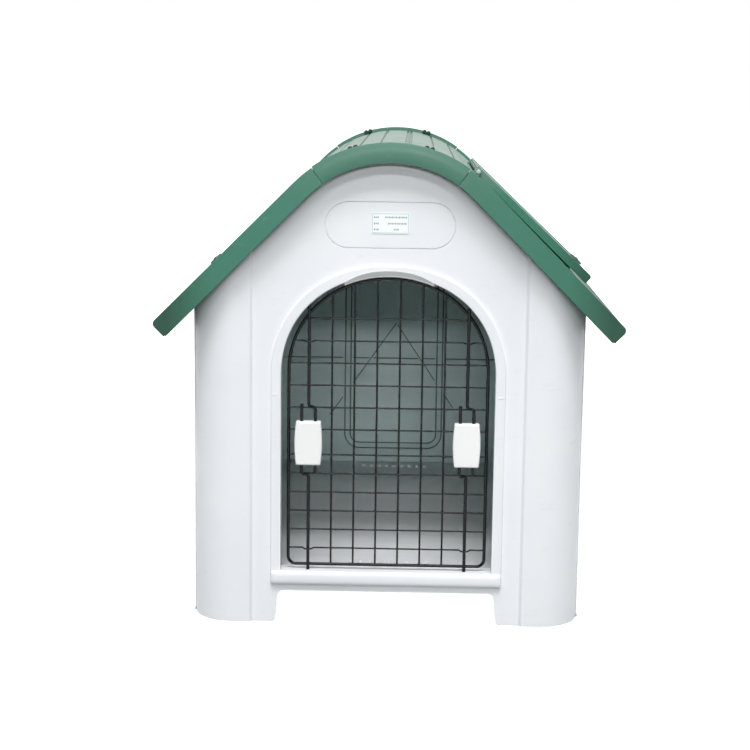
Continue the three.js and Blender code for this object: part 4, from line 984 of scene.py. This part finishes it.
def roof_slope(side):
    name = "left" if side < 0 else "right"
    depth = ROOF_HALF_DEPTH
    joint_angle = 0.32
    start_angles = [CAP_ANGLE + joint_angle + i * (45 - CAP_ANGLE - joint_angle) / 4 for i in range(4)]
    top = [arc_point(angle, -PLANK_RECESS) for angle in start_angles]
    grooves = plank_grooves(PLANK_PITCH * 0.55, TIP_S - EAVE_RIM - 0.010)
    top += plank_profile(slope_point, 0, TIP_S - 0.010, grooves, -PLANK_RECESS)
    bottom = [arc_point(angle, ROOF_UNDERSIDE) for angle in start_angles]
    bottom += [slope_point(0, ROOF_UNDERSIDE), slope_point(TIP_S - 0.010, ROOF_UNDERSIDE)]
    plate = prism([*top, *reversed(bottom)], -depth + 0.001, depth - 0.001)
    rim_profile = [
        (TIP_S - EAVE_RIM - 0.004, -PLANK_RECESS - 0.001),
        (TIP_S - EAVE_RIM - 0.002, -PLANK_RECESS + 0.001),
        (TIP_S - EAVE_RIM, -0.0016),
        (TIP_S - EAVE_RIM + 0.0015, -0.0006),
        *arc(TIP_S - TIP_ROUND, -TIP_ROUND - 0.0006, TIP_ROUND, 90, 0, 8),
        (TIP_S, -LIP_HEIGHT + 0.002),
        (TIP_S - 0.0035, -LIP_HEIGHT + 0.002),
        (TIP_S - 0.0035, ROOF_UNDERSIDE - 0.001),
        (TIP_S - EAVE_RIM - 0.004, ROOF_UNDERSIDE),
    ]
    rim = prism([slope_point(s, h) for s, h in rim_profile], -depth + 0.001, depth - 0.001)
    lip_top = [arc_point(angle, 0) for angle in start_angles]
    lip_bottom = [arc_point(angle, -LIP_HEIGHT) for angle in start_angles]
    tip = [
        *arc(TIP_S - TIP_ROUND, -TIP_ROUND, TIP_ROUND, 90, 0, 8),
        (TIP_S, -LIP_HEIGHT + 0.009),
        (TIP_S - 0.0022, -LIP_HEIGHT + 0.006),
        *arc(TIP_S - 0.0045, -LIP_HEIGHT + 0.0022, 0.0022, 0, -90, 4),
    ]
    lip_outline = [
        *lip_top,
        slope_point(0, 0),
        *[slope_point(s, h) for s, h in tip],
        slope_point(0, -LIP_HEIGHT),
        *reversed(lip_bottom),
    ]
    lips = []
    for end in (-1, 1):
        low, high = sorted((end * depth, end * (depth - LIP_THICKNESS)))
        lips.append(slab([lip_outline], low, high, 0.0014, steps=4))
    tongue_top = ROOF_UNDERSIDE - JOINT_GAP - CAP_PROUD
    angles = [CAP_ANGLE - 4 + i for i in range(9)]
    tongue = [arc_point(a, ROOF_UNDERSIDE + 0.001 if a > CAP_ANGLE else tongue_top) for a in angles]
    tongue += [arc_point(a, tongue_top - 0.003) for a in reversed(angles)]
    parts = [slab([tongue], -0.385, 0.385, 0.0005), rim, *lips]
    if side > 0:
        opening = slope_quad(SKYLIGHT_START, SKYLIGHT_END, 0.04, 0.04, -0.04)
        plate = boolean(plate, [prism(opening, -SKYLIGHT_HALF_DEPTH, SKYLIGHT_HALF_DEPTH)])
        parts += skylight_parts()
    plate = boolean(plate, [lock_slot()])
    parts.append(plate)
    if side < 0:
        mirror(parts)
    return piece(f"roof_slope_{name}", parts, GREEN, "house", [f"roof_panel_{name}"])


def lock_slot():
    slot = slope_quad(KNOB_S - 0.006, KNOB_S + 0.0075, 0.005, 0.005, ROOF_UNDERSIDE - 0.005)
    return prism(slot, -0.017, 0.017)


def skylight_parts():
    """The kerb round the skylight that the lid closes on, and the two hinge ears."""
    def kerb_top(s):
        return hatch_top_at(s) - HATCH_SHEET - JOINT_GAP

    start = SKYLIGHT_START - KERB_WALL
    end = SKYLIGHT_END + KERB_WALL
    half = SKYLIGHT_HALF_DEPTH
    base = ROOF_UNDERSIDE + 0.0005
    long_side = slope_quad(start, end, kerb_top(start), kerb_top(end), base)
    parts = [
        slab([long_side], -half - KERB_WALL, -half, 0.0008),
        slab([long_side], half, half + KERB_WALL, 0.0008),
    ]
    for s in (start, SKYLIGHT_END):
        bar = slope_quad(s, s + KERB_WALL, kerb_top(s), kerb_top(s + KERB_WALL), base)
        parts.append(slab([bar], -half - 0.001, half + 0.001, 0.0008))
    ear = arc(HATCH_AXIS_S, HATCH_AXIS_H, 0.0056, -10, 190, 14)
    ear += [(HATCH_AXIS_S - 0.007, -PLANK_RECESS - 0.002), (HATCH_AXIS_S + 0.007, -PLANK_RECESS - 0.002)]
    bore = arc(HATCH_AXIS_S, HATCH_AXIS_H, HINGE_BORE_RADIUS, 0, 345, 23)
    loops = [[slope_point(s, h) for s, h in ear], [slope_point(s, h) for s, h in bore]]
    near = HATCH_HALF_DEPTH + 0.0005
    parts.append(slab(loops, near, near + 0.006, 0.0008))
    parts.append(slab(loops, -near - 0.006, -near, 0.0008))
    return parts


def cap():
    depth = ROOF_HALF_DEPTH
    top = CAP_PROUD - PLANK_RECESS - 0.001
    width = math.degrees(CAP_GROOVE_WIDTH / RIDGE_RADIUS)
    edges = [-CAP_ANGLE, *CAP_GROOVES, CAP_ANGLE]
    profile = []
    for start, end in zip(edges, edges[1:]):
        if start != -CAP_ANGLE:
            for across, deep in groove_steps(width, CAP_GROOVE_DEPTH):
                profile.append(arc_point(start + across, top - deep))
            start += width / 2
        if end != CAP_ANGLE:
            end -= width / 2
        count = max(2, round((end - start) / 1.5))
        profile += [arc_point(start + (end - start) * i / count, top) for i in range(count + 1)]
    clean = [profile[0]]
    for point in profile[1:]:
        if (Vector(point) - Vector(clean[-1])).length > 1e-5:
            clean.append(point)
    under = [arc_point(-CAP_ANGLE + 2.5 * i, ROOF_UNDERSIDE) for i in range(29)]
    plate = prism([*clean, *reversed(under)], -depth + 0.001, depth - 0.001)
    return piece("ridge_cap_cover", [plate, cap_lip(-1), cap_lip(1)], GREEN, "house", ["ridge_cap"])


def cap_lip(end):
    """An end lip of the cap: a band round the ridge arc whose face swells outwards."""
    depth = ROOF_HALF_DEPTH
    edge = 0.0013
    swell = 0.0024
    section = [(depth - 0.0055, CAP_PROUD), (depth - swell - edge, CAP_PROUD)]
    middle = (CAP_PROUD - LIP_HEIGHT) / 2
    half = (CAP_PROUD + LIP_HEIGHT) / 2 - edge * 0.4
    for i in range(17):
        share = 1 - i / 8
        section.append((depth - swell * share * share, middle + half * share))
    section += [(depth - swell - edge, -LIP_HEIGHT), (depth - 0.0055, -LIP_HEIGHT)]
    rings = []
    for i in range(71):
        angle = -CAP_ANGLE + i
        rings.append([(arc_point(angle, h)[0], end * y, arc_point(angle, h)[1]) for y, h in section])
    return layered(rings)


def clip(name, degrees, y):
    """A snap clip: a foot plate with a pair of rounded lugs on it."""
    base = CAP_PROUD - PLANK_RECESS - 0.001

    def place(points):
        return [arc_point(degrees + math.degrees(across / RIDGE_RADIUS), h) for across, h in points]

    lugs = [
        slab([place(arc(across, base + 0.0046, 0.0040, 0, 345, 23))], y - 0.0045, y + 0.0045, 0.0012, steps=3)
        for across in (-0.0042, 0.0042)
    ]
    foot = slab([place(rounded_rectangle(-0.007, 0.007, base + 0.0004, base + 0.003, 0.001, 3))],
                y - 0.004, y + 0.004, 0.0006)
    stem = slab([place(rounded_rectangle(-0.0038, 0.0038, ROOF_UNDERSIDE - 0.006, base + 0.001, 0.001, 3))],
                y - 0.003, y + 0.003, 0.0006)
    return piece(f"{name}_moulding", [*lugs, foot, stem], DARK_GREEN, "house", [name])


# ---- hatch and knobs ----

LID_START_U = HATCH_START - HATCH_AXIS_S
LID_END_U = HATCH_END - HATCH_AXIS_S
LID_TOP_V = hatch_top_at(HATCH_AXIS_S) - HATCH_AXIS_H
KNOB_U = KNOB_S - HATCH_AXIS_S


def hatch_lid():
    half = HATCH_HALF_DEPTH
    under = LID_TOP_V - HATCH_SHEET
    end_round = 0.005
    end_corner = arc(LID_END_U - end_round, LID_TOP_V - end_round, end_round, 90, 0, 8)
    grooves = plank_grooves(0.026, LID_END_U - 0.030)
    top = plank_profile(lid_point, LID_START_U + 0.001, LID_END_U - end_round - 0.001, grooves, LID_TOP_V)
    rest = [
        *end_corner,
        (LID_END_U, LID_TOP_V - HATCH_LIP),
        (LID_END_U - 0.003, LID_TOP_V - HATCH_LIP),
        (LID_END_U - 0.003, under),
        (LID_START_U + 0.001, under),
        (LID_START_U, under + 0.001),
        (LID_START_U, LID_TOP_V - 0.001),
    ]
    sheet = prism([*top, *[lid_point(u, v) for u, v in rest]], -half + 0.001, half - 0.001)
    proud = 0.0012
    lip_points = [
        (LID_START_U + 0.0005, LID_TOP_V + proud),
        *[(u, v + proud) for u, v in end_corner],
        (LID_END_U, LID_TOP_V - HATCH_LIP + 0.001),
        (LID_END_U - 0.001, LID_TOP_V - HATCH_LIP),
        *arc(0, 0, 0.005, -90, -180, 6),
    ]
    bore = arc(0, 0, HINGE_BORE_RADIUS, 0, 345, 23)
    loops = [[lid_point(u, v) for u, v in points] for points in (lip_points, bore)]
    lips = [slab(loops, low, low + 0.003, 0.001, steps=3) for low in (-half, half - 0.003)]
    barrel_x, barrel_z = lid_point(0, 0)
    reach = half - 0.0085
    barrel = rod_between((barrel_x, -reach, barrel_z), (barrel_x, reach, barrel_z), 0.0044)
    return piece("hatch_lid", [sheet, *lips, barrel], GREEN, "hatch", ["skylight_hatch"])


def knob(name, base, normal_x, normal_z, head_height, bar_drop, body):
    """A quarter-turn knob on a slope: a crowned round head with a grip bar, a stem and a lock bar below."""
    up = Vector((normal_x, 0, normal_z)).normalized()
    down_slope = Vector((up.z, 0, -up.x))
    across = Vector((0, 1, 0))
    turn = Matrix((down_slope, across, up)).transposed().to_4x4()
    radius = 0.0125
    notched = []
    for i in range(96):
        angle = 2 * math.pi * i / 96
        reach = radius - 0.0004 * (0.5 + 0.5 * math.cos(24 * angle))
        notched.append((reach * math.cos(angle), reach * math.sin(angle)))
    head = dished(notched, dome(radius, head_height, 0.0015), "Z")
    grip = slab([rounded_rectangle(-0.0023, 0.0023, -0.0098, 0.0098, 0.002, 5)],
                head_height - 0.001, head_height + 0.0015, 0.0007, "Z")
    stem = dished(circle(0.004, 24), [(-bar_drop + 0.001, 0), (0.001, 0)], "Z")
    bar_plan = rounded_rectangle(-0.004, 0.004, -0.014, 0.014, 0.0015, 4)
    bar = slab([bar_plan], -bar_drop, -bar_drop + 0.003, 0.0005, "Z")
    parts = [head, grip, stem, bar]
    for part in parts:
        part.transform(Matrix.Translation(base) @ turn)
    return piece(f"{name}_moulding", parts, KNOB_GREY, body, [name])


def hinge_pin(name, end):
    x, z = slope_point(HATCH_AXIS_S, HATCH_AXIS_H)
    head_low = HATCH_HALF_DEPTH + 0.007
    turned = [(HATCH_HALF_DEPTH - 0.008, 0.0005), (HATCH_HALF_DEPTH - 0.0075, 0), (head_low, 0)]
    shaft = dished(circle(0.002, 24), turned, "Z")
    crown = [(0, 0.0003), (0.0003, 0), (0.001, 0.0002), (0.0015, 0.0012)]
    head = dished(circle(0.0036, 28), [(head_low + up, inset) for up, inset in crown], "Z")
    place = Matrix.Translation((x, 0, z)) @ Matrix.Rotation(-end * math.pi / 2, 4, "X")
    for part in (shaft, head):
        part.transform(place)
    return piece(f"{name}_turned", [shaft, head], PIN_GREY, "house", [name])


# ---- door ----

CROSS_ROWS = (0.1179, 0.1479, 0.1779, 0.2079, 0.2379, 0.2679, 0.3079, 0.3429, 0.3779, 0.4129, 0.4479)
SHORT_ROW = 0.4829


def guide_wire(edge, y, z):
    """A cross wire with a forward loop that keeps each latch rod against the door."""
    corners = [(-edge, y, z)]
    for x in (-ROD_X, ROD_X):
        for across, forward in ((-0.009, 0), (-0.0045, 0.0094), (0.0045, 0.0094), (0.009, 0)):
            corners.append((x + across, y - forward, z))
    corners.append((edge, y, z))
    return bent(corners, 0.0016, 4)


def door():
    low = DOOR_BOTTOM_Z
    top = superellipse_arch(DOOR_HALF_WIDTH, DOOR_SPRING_Z, DOOR_ARCH, DOOR_SQUARENESS, 56)
    loop = [*top, *bottom_corners(DOOR_HALF_WIDTH, low, 0.012, 8)]
    runs = [([(x, DOOR_Y, z) for x, z in loop], FRAME_WIRE / 2, True)]
    upright_y = DOOR_Y + 0.0023
    columns = [(column - 2.5) * WIRE_PITCH for column in range(6)]
    for x in columns:
        runs.append(([(x, upright_y, low), (x, upright_y, door_height(x))], UPRIGHT_WIRE / 2, False))
    cross_y = DOOR_Y - 0.0005
    for z in CROSS_ROWS:
        edge = door_half_width(z)
        if z in (CROSS_ROWS[0], CROSS_ROWS[-1]):
            path = guide_wire(edge, cross_y, z)
        else:
            path = [(-edge, cross_y, z), (edge, cross_y, z)]
        runs.append((path, CROSS_WIRE / 2, False))
    reach = ROD_X + 0.005
    runs.append(([(-reach, cross_y, SHORT_ROW), (reach, cross_y, SHORT_ROW)], CROSS_WIRE / 2, False))
    welds = []
    for x in columns:
        for z in (*CROSS_ROWS, SHORT_ROW):
            if z < door_height(x) - 0.004:
                bead = [(x + across, DOOR_Y + 0.0009, z) for across in (-0.0018, 0.0018)]
                welds.append((bead, 0.0013, False))
    parts = [wires(runs), wires(welds, 2)]
    return piece("door_wires", parts, BLACK_WIRE, "door", ["door_mesh"], 60)


# ---- latches ----

UPPER = {"shoulder": 0.345, "end": 0.240, "collar": 0.300}
LOWER = {"shoulder": 0.238, "end": 0.350, "collar": 0.277}


def latch_rod(name, x, prong_x, level, tip_z, body):
    shoulder_z = level["shoulder"]
    corners = [
        (x, ROD_Y, tip_z), (x, ROD_Y, shoulder_z),
        (prong_x, GRIP_Y, shoulder_z), (prong_x, GRIP_Y, level["end"]),
    ]
    rod = wires([(bent(corners, 0.005), ROD_WIRE / 2, False)])
    low, high = [(prong_x, GRIP_Y, level["collar"] + up) for up in (-0.0015, 0.0015)]
    collar = rod_between(low, high, 0.0046)
    return piece(f"{name}_wire", [rod, collar], BLACK_WIRE, body, [name], 60)


def grip_outline(x):
    """Convex sides between short flat ends, with rounded corners."""
    half_end = 0.019
    bulge = 0.0025
    middle = (GRIP_BOTTOM_Z + GRIP_TOP_Z) / 2
    half = (GRIP_TOP_Z - GRIP_BOTTOM_Z) / 2
    corner = 0.0028
    radius = (half * half + bulge * bulge) / (2 * bulge)
    centre = half_end + bulge - radius
    spread = math.degrees(math.asin((half - corner) / radius))
    right = arc(x + centre, middle, radius, -spread, spread, 16)
    left = arc(x - centre, middle, radius, 180 - spread, 180 + spread, 16)
    inner = half_end - corner + 0.0006
    upper_right = arc(x + inner, GRIP_TOP_Z - corner, corner, 0, 90, 5)[1:]
    upper_left = arc(x - inner, GRIP_TOP_Z - corner, corner, 90, 180, 5)[:-1]
    lower_left = arc(x - inner, GRIP_BOTTOM_Z + corner, corner, 180, 270, 5)[1:]
    lower_right = arc(x + inner, GRIP_BOTTOM_Z + corner, corner, 270, 360, 5)[:-1]
    return [*right, *upper_right, *upper_left, *left, *lower_left, *lower_right]


def grip_shell(name, x, front):
    """Half of a latch grip, rounded towards its face, with a channel for each prong."""
    thick = 0.008
    split = 0.00015
    sign = -1 if front else 1
    edge = 0.0026
    layers = [(GRIP_Y + sign * split, 0.0003), (GRIP_Y + sign * (split + 0.0003), 0)]
    for i in range(9):
        angle = math.pi / 2 * i / 8
        layers.append((GRIP_Y + sign * (thick - edge + edge * math.sin(angle)), edge * (1 - math.cos(angle))))
    layers.append((GRIP_Y + sign * thick, edge + 0.004))
    shell = dished(grip_outline(x), layers)
    channels = []
    for prong_x in (x - PRONG_OFFSET, x + PRONG_OFFSET):
        for low_z, high_z, radius in (
            (GRIP_BOTTOM_Z - 0.005, GRIP_TOP_Z + 0.005, ROD_WIRE / 2 + 0.0005),
            (0.260, 0.317, 0.0052),
        ):
            channels.append(rod_between((prong_x, GRIP_Y, low_z), (prong_x, GRIP_Y, high_z), radius))
    shell = boolean(shell, channels)
    return piece(f"{name}_shell", [shell], GRIP_WHITE, "door", [name])


def latch_spring(name, x, low_z, high_z):
    per_turn = 20
    count = COIL_TURNS * per_turn
    radius = COIL_WIRE_RADIUS
    path = []
    for i in range(count + 1):
        angle = 2 * math.pi * i / per_turn
        z = low_z + radius + (high_z - low_z - 2 * radius) * i / count
        path.append((x + COIL_RADIUS * math.cos(angle), GRIP_Y + COIL_RADIUS * math.sin(angle), z))
    return piece(f"{name}_coil", [wires([(path, radius, False)], 1)], SPRING, "door", [name], 60)


# ---- small pieces ----

def stop_tab():
    """The frosted tab over the crown of the doorway: a blunt crescent with a rolled lower edge."""
    half_width = 0.0685
    roll = 0.0013
    face = -WALL_FACE_Y - BORDER_PROUD - JOINT_GAP
    front = face - 0.0020
    lower = []
    upper = []
    for i in range(-20, 21):
        share = i / 20
        x = half_width * share
        low_z = door_height(x) + FRAME_WIRE / 2 + 0.0014
        lower.append((x, low_z))
        upper.append((x, low_z + 0.0048 + 0.0048 * (1 - share ** 4)))
    tab = slab([[*lower, *reversed(upper)]], front, face, 0.0007, steps=3)
    rolled = wires([([(x, front + roll * 0.4, z + roll) for x, z in lower], roll, False)])
    return piece("stop_tab_crescent", [tab, rolled], MILKY, "house", ["door_stop_tab"])


def label():
    face = -WALL_FACE_Y - 0.0003
    low_z = 0.616
    high_z = 0.648
    half = 0.029
    film = slab([rounded_rectangle(-half, half, low_z, high_z, 0.002)], face - 0.0005, face, 0.0001)
    piece("label_film", [film], LABEL, "house", ["label_plate"])
    loops = [
        rounded_rectangle(-half + inset, half - inset, low_z + inset, high_z - inset, radius)
        for inset, radius in ((0.001, 0.0014), (0.0019, 0.0008))
    ]
    frame_line = slab(loops, face - 0.0006, face - 0.0004, 0.00004)
    piece("label_border", [frame_line], LABEL_TEAL, "house", ())
    # Each row of dashes has its first x, its z and its number of dashes.
    bars = [
        (-0.0250, 0.6410, 3), (-0.0080, 0.6410, 13), (-0.0250, 0.6315, 3), (-0.0035, 0.6315, 11),
        (-0.0250, 0.6225, 3), (0.0055, 0.6225, 3),
    ]
    marks = []
    for start, z, count in bars:
        for i in range(count):
            x = start + i * 0.0026
            tall = 0.0013 - 0.0004 * (i % 2)
            outline = rounded_rectangle(x, x + 0.0018, z - tall, z + tall, 0.0003, 2)
            marks.append(slab([outline], face - 0.0006, face - 0.0004, 0.00004))
    piece("label_marks", marks, LABEL_INK, "house", ())


def corner_screw(name, side, y, z):
    """A crowned screw head with a cross recess."""
    crown = [(0, 0), (0.0008, 0), (0.0014, 0.0006), (0.0019, 0.0018), (0.0022, 0.0036)]
    head = dished(circle(0.006, 32), crown, "Z")
    arms = [
        prism(rounded_rectangle(-a, a, -b, b, 0.0003, 2), 0.0012, 0.004, "Z")
        for a, b in ((0.0028, 0.0006), (0.0006, 0.0028))
    ]
    head = boolean(head, arms)
    place = Matrix.Translation((side * (WALL_HALF_WIDTH + JOINT_GAP), y, z))
    head.transform(place @ Matrix.Rotation(side * math.pi / 2, 4, "Y"))
    return piece(f"{name}_head", [head], WHITE, "house", [name])


# ---- assembly ----

def build():
    front_wall()
    rear_wall()
    floor_sheet()
    for side in (-1, 1):
        side_wall(side)
        roof_slope(side)
    cap()
    for end, y in (("front", -CLIP_Y), ("rear", CLIP_Y)):
        for side, degrees in (("left", -CLIP_ANGLE), ("right", CLIP_ANGLE)):
            clip(f"cap_clip_{end}_{side}", degrees, y)
        hinge_pin(f"hatch_hinge_pin_{end}", 1 if y > 0 else -1)
    hatch_lid()
    lid_x, lid_z = lid_point(KNOB_U, LID_TOP_V + JOINT_GAP)
    normal = math.pi / 4 - HATCH_TILT
    knob("hatch_knob", (lid_x, 0, lid_z), math.sin(normal), math.cos(normal), 0.0034, 0.0269, "hatch_lock")
    lock_x, lock_z = slope_point(KNOB_S, -PLANK_RECESS + JOINT_GAP)
    knob("roof_lock_knob", (-lock_x, 0, lock_z), -DIAGONAL, DIAGONAL, 0.010, 0.0096, "roof_lock")
    door()
    for side, x in (("left", -ROD_X), ("right", ROD_X)):
        upper_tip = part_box(f"latch_rod_upper_{side}")[1].z
        lower_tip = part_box(f"latch_rod_lower_{side}")[0].z
        latch_rod(f"latch_rod_upper_{side}", x, x + PRONG_OFFSET, UPPER, upper_tip, f"rod_upper_{side}")
        latch_rod(f"latch_rod_lower_{side}", x, x - PRONG_OFFSET, LOWER, lower_tip, f"rod_lower_{side}")
        grip_shell(f"latch_grip_front_{side}", x, True)
        grip_shell(f"latch_grip_back_{side}", x, False)
        latch_spring(f"latch_spring_upper_{side}", x + PRONG_OFFSET, 0.2603, UPPER["collar"] - 0.0018)
        latch_spring(f"latch_spring_lower_{side}", x - PRONG_OFFSET, LOWER["collar"] + 0.0018, 0.3167)
    stop_tab()
    label()
    for side, side_name in ((-1, "left"), (1, "right")):
        for end, end_name in ((-1, "front"), (1, "rear")):
            for z, level in ((0.18, "lower"), (0.40, "upper")):
                corner_screw(f"corner_screw_{side_name}_{end_name}_{level}", side, end * (SEAM_Y - 0.012), z)


# ---- camera, floor and light ----

CAMERA_PLACE = Vector((0.0359, -3.0672, 0.8476))
CAMERA_DOWN = math.radians(9.59)
CAMERA_YAW = math.radians(1.215)
CAMERA_ROLL = math.radians(0.727)
CAMERA_LENS = 84.0
CAMERA_SENSOR = 36.0
WORLD_FRONT = 0.12
WORLD_REAR = 1.0


def camera():
    forward = Vector((
        -math.sin(CAMERA_YAW) * math.cos(CAMERA_DOWN),
        math.cos(CAMERA_YAW) * math.cos(CAMERA_DOWN),
        -math.sin(CAMERA_DOWN),
    ))
    level = Vector((math.cos(CAMERA_YAW), math.sin(CAMERA_YAW), 0))
    upright = level.cross(forward)
    right = level * math.cos(CAMERA_ROLL) + upright * math.sin(CAMERA_ROLL)
    up = upright * math.cos(CAMERA_ROLL) - level * math.sin(CAMERA_ROLL)
    data = bpy.data.cameras.new("camera")
    data.lens = CAMERA_LENS
    data.sensor_width = CAMERA_SENSOR
    made = add_to_scene(bpy.data.objects.new("camera", data))
    made.matrix_world = Matrix.Translation(CAMERA_PLACE) @ Matrix((right, up, -forward)).transposed().to_4x4()
    bpy.context.scene.camera = made


def studio_floor():
    half = 30
    mesh = bpy.data.meshes.new("studio_floor")
    corners = [(-half, -half, -0.001), (half, -half, -0.001), (half, half, -0.001), (-half, half, -0.001)]
    mesh.from_pydata(corners, [], [(0, 1, 2, 3)])
    mesh.materials.append(FLOOR_PAINT)
    made = add_to_scene(bpy.data.objects.new("studio_floor", mesh))
    made.visible_diffuse = False


def area_light(name, place, target, width, height, power):
    data = bpy.data.lights.new(name, "AREA")
    data.shape = "RECTANGLE"
    data.size = width
    data.size_y = height
    data.energy = power
    made = add_to_scene(bpy.data.objects.new(name, data))
    made.location = place
    made.rotation_euler = (Vector(target) - Vector(place)).to_track_quat("-Z", "Y").to_euler()


def light():
    middle = (0, -0.40, 0.40)
    area_light("key", (0.3, -8.6, 6.3), middle, 5, 0.75, 265)
    area_light("top", (0, -9.3, 18.3), middle, 13.7, 7, 3850)
    area_light("fill", (0.2, -8.2, 2.3), middle, 3, 0.25, 182)
    world = bpy.data.worlds.new("studio")
    world.use_nodes = True
    tree = world.node_tree
    backdrop = tree.nodes["Background"]
    backdrop.inputs["Color"].default_value = (1, 1, 1, 1)
    around = tree.nodes.new("ShaderNodeBackground")
    around.inputs["Color"].default_value = (0.97, 0.99, 1, 1)
    direction = tree.nodes.new("ShaderNodeTexCoord")
    split = tree.nodes.new("ShaderNodeSeparateXYZ")
    rear = tree.nodes.new("ShaderNodeMapRange")
    for socket, number in zip(rear.inputs[1:5], (-0.35, 0.5, WORLD_FRONT, WORLD_REAR)):
        socket.default_value = number
    tree.links.new(direction.outputs["Generated"], split.inputs["Vector"])
    tree.links.new(split.outputs["Y"], rear.inputs["Value"])
    tree.links.new(rear.outputs["Result"], around.inputs["Strength"])
    choose = tree.nodes.new("ShaderNodeMixShader")
    path = tree.nodes.new("ShaderNodeLightPath")
    tree.links.new(path.outputs["Is Camera Ray"], choose.inputs["Fac"])
    tree.links.new(around.outputs["Background"], choose.inputs[1])
    tree.links.new(backdrop.outputs["Background"], choose.inputs[2])
    tree.links.new(choose.outputs["Shader"], tree.nodes["World Output"].inputs["Surface"])
    bpy.context.scene.world = world
    bpy.context.scene.view_settings.view_transform = "Standard"


camera()
build()
studio_floor()
light()
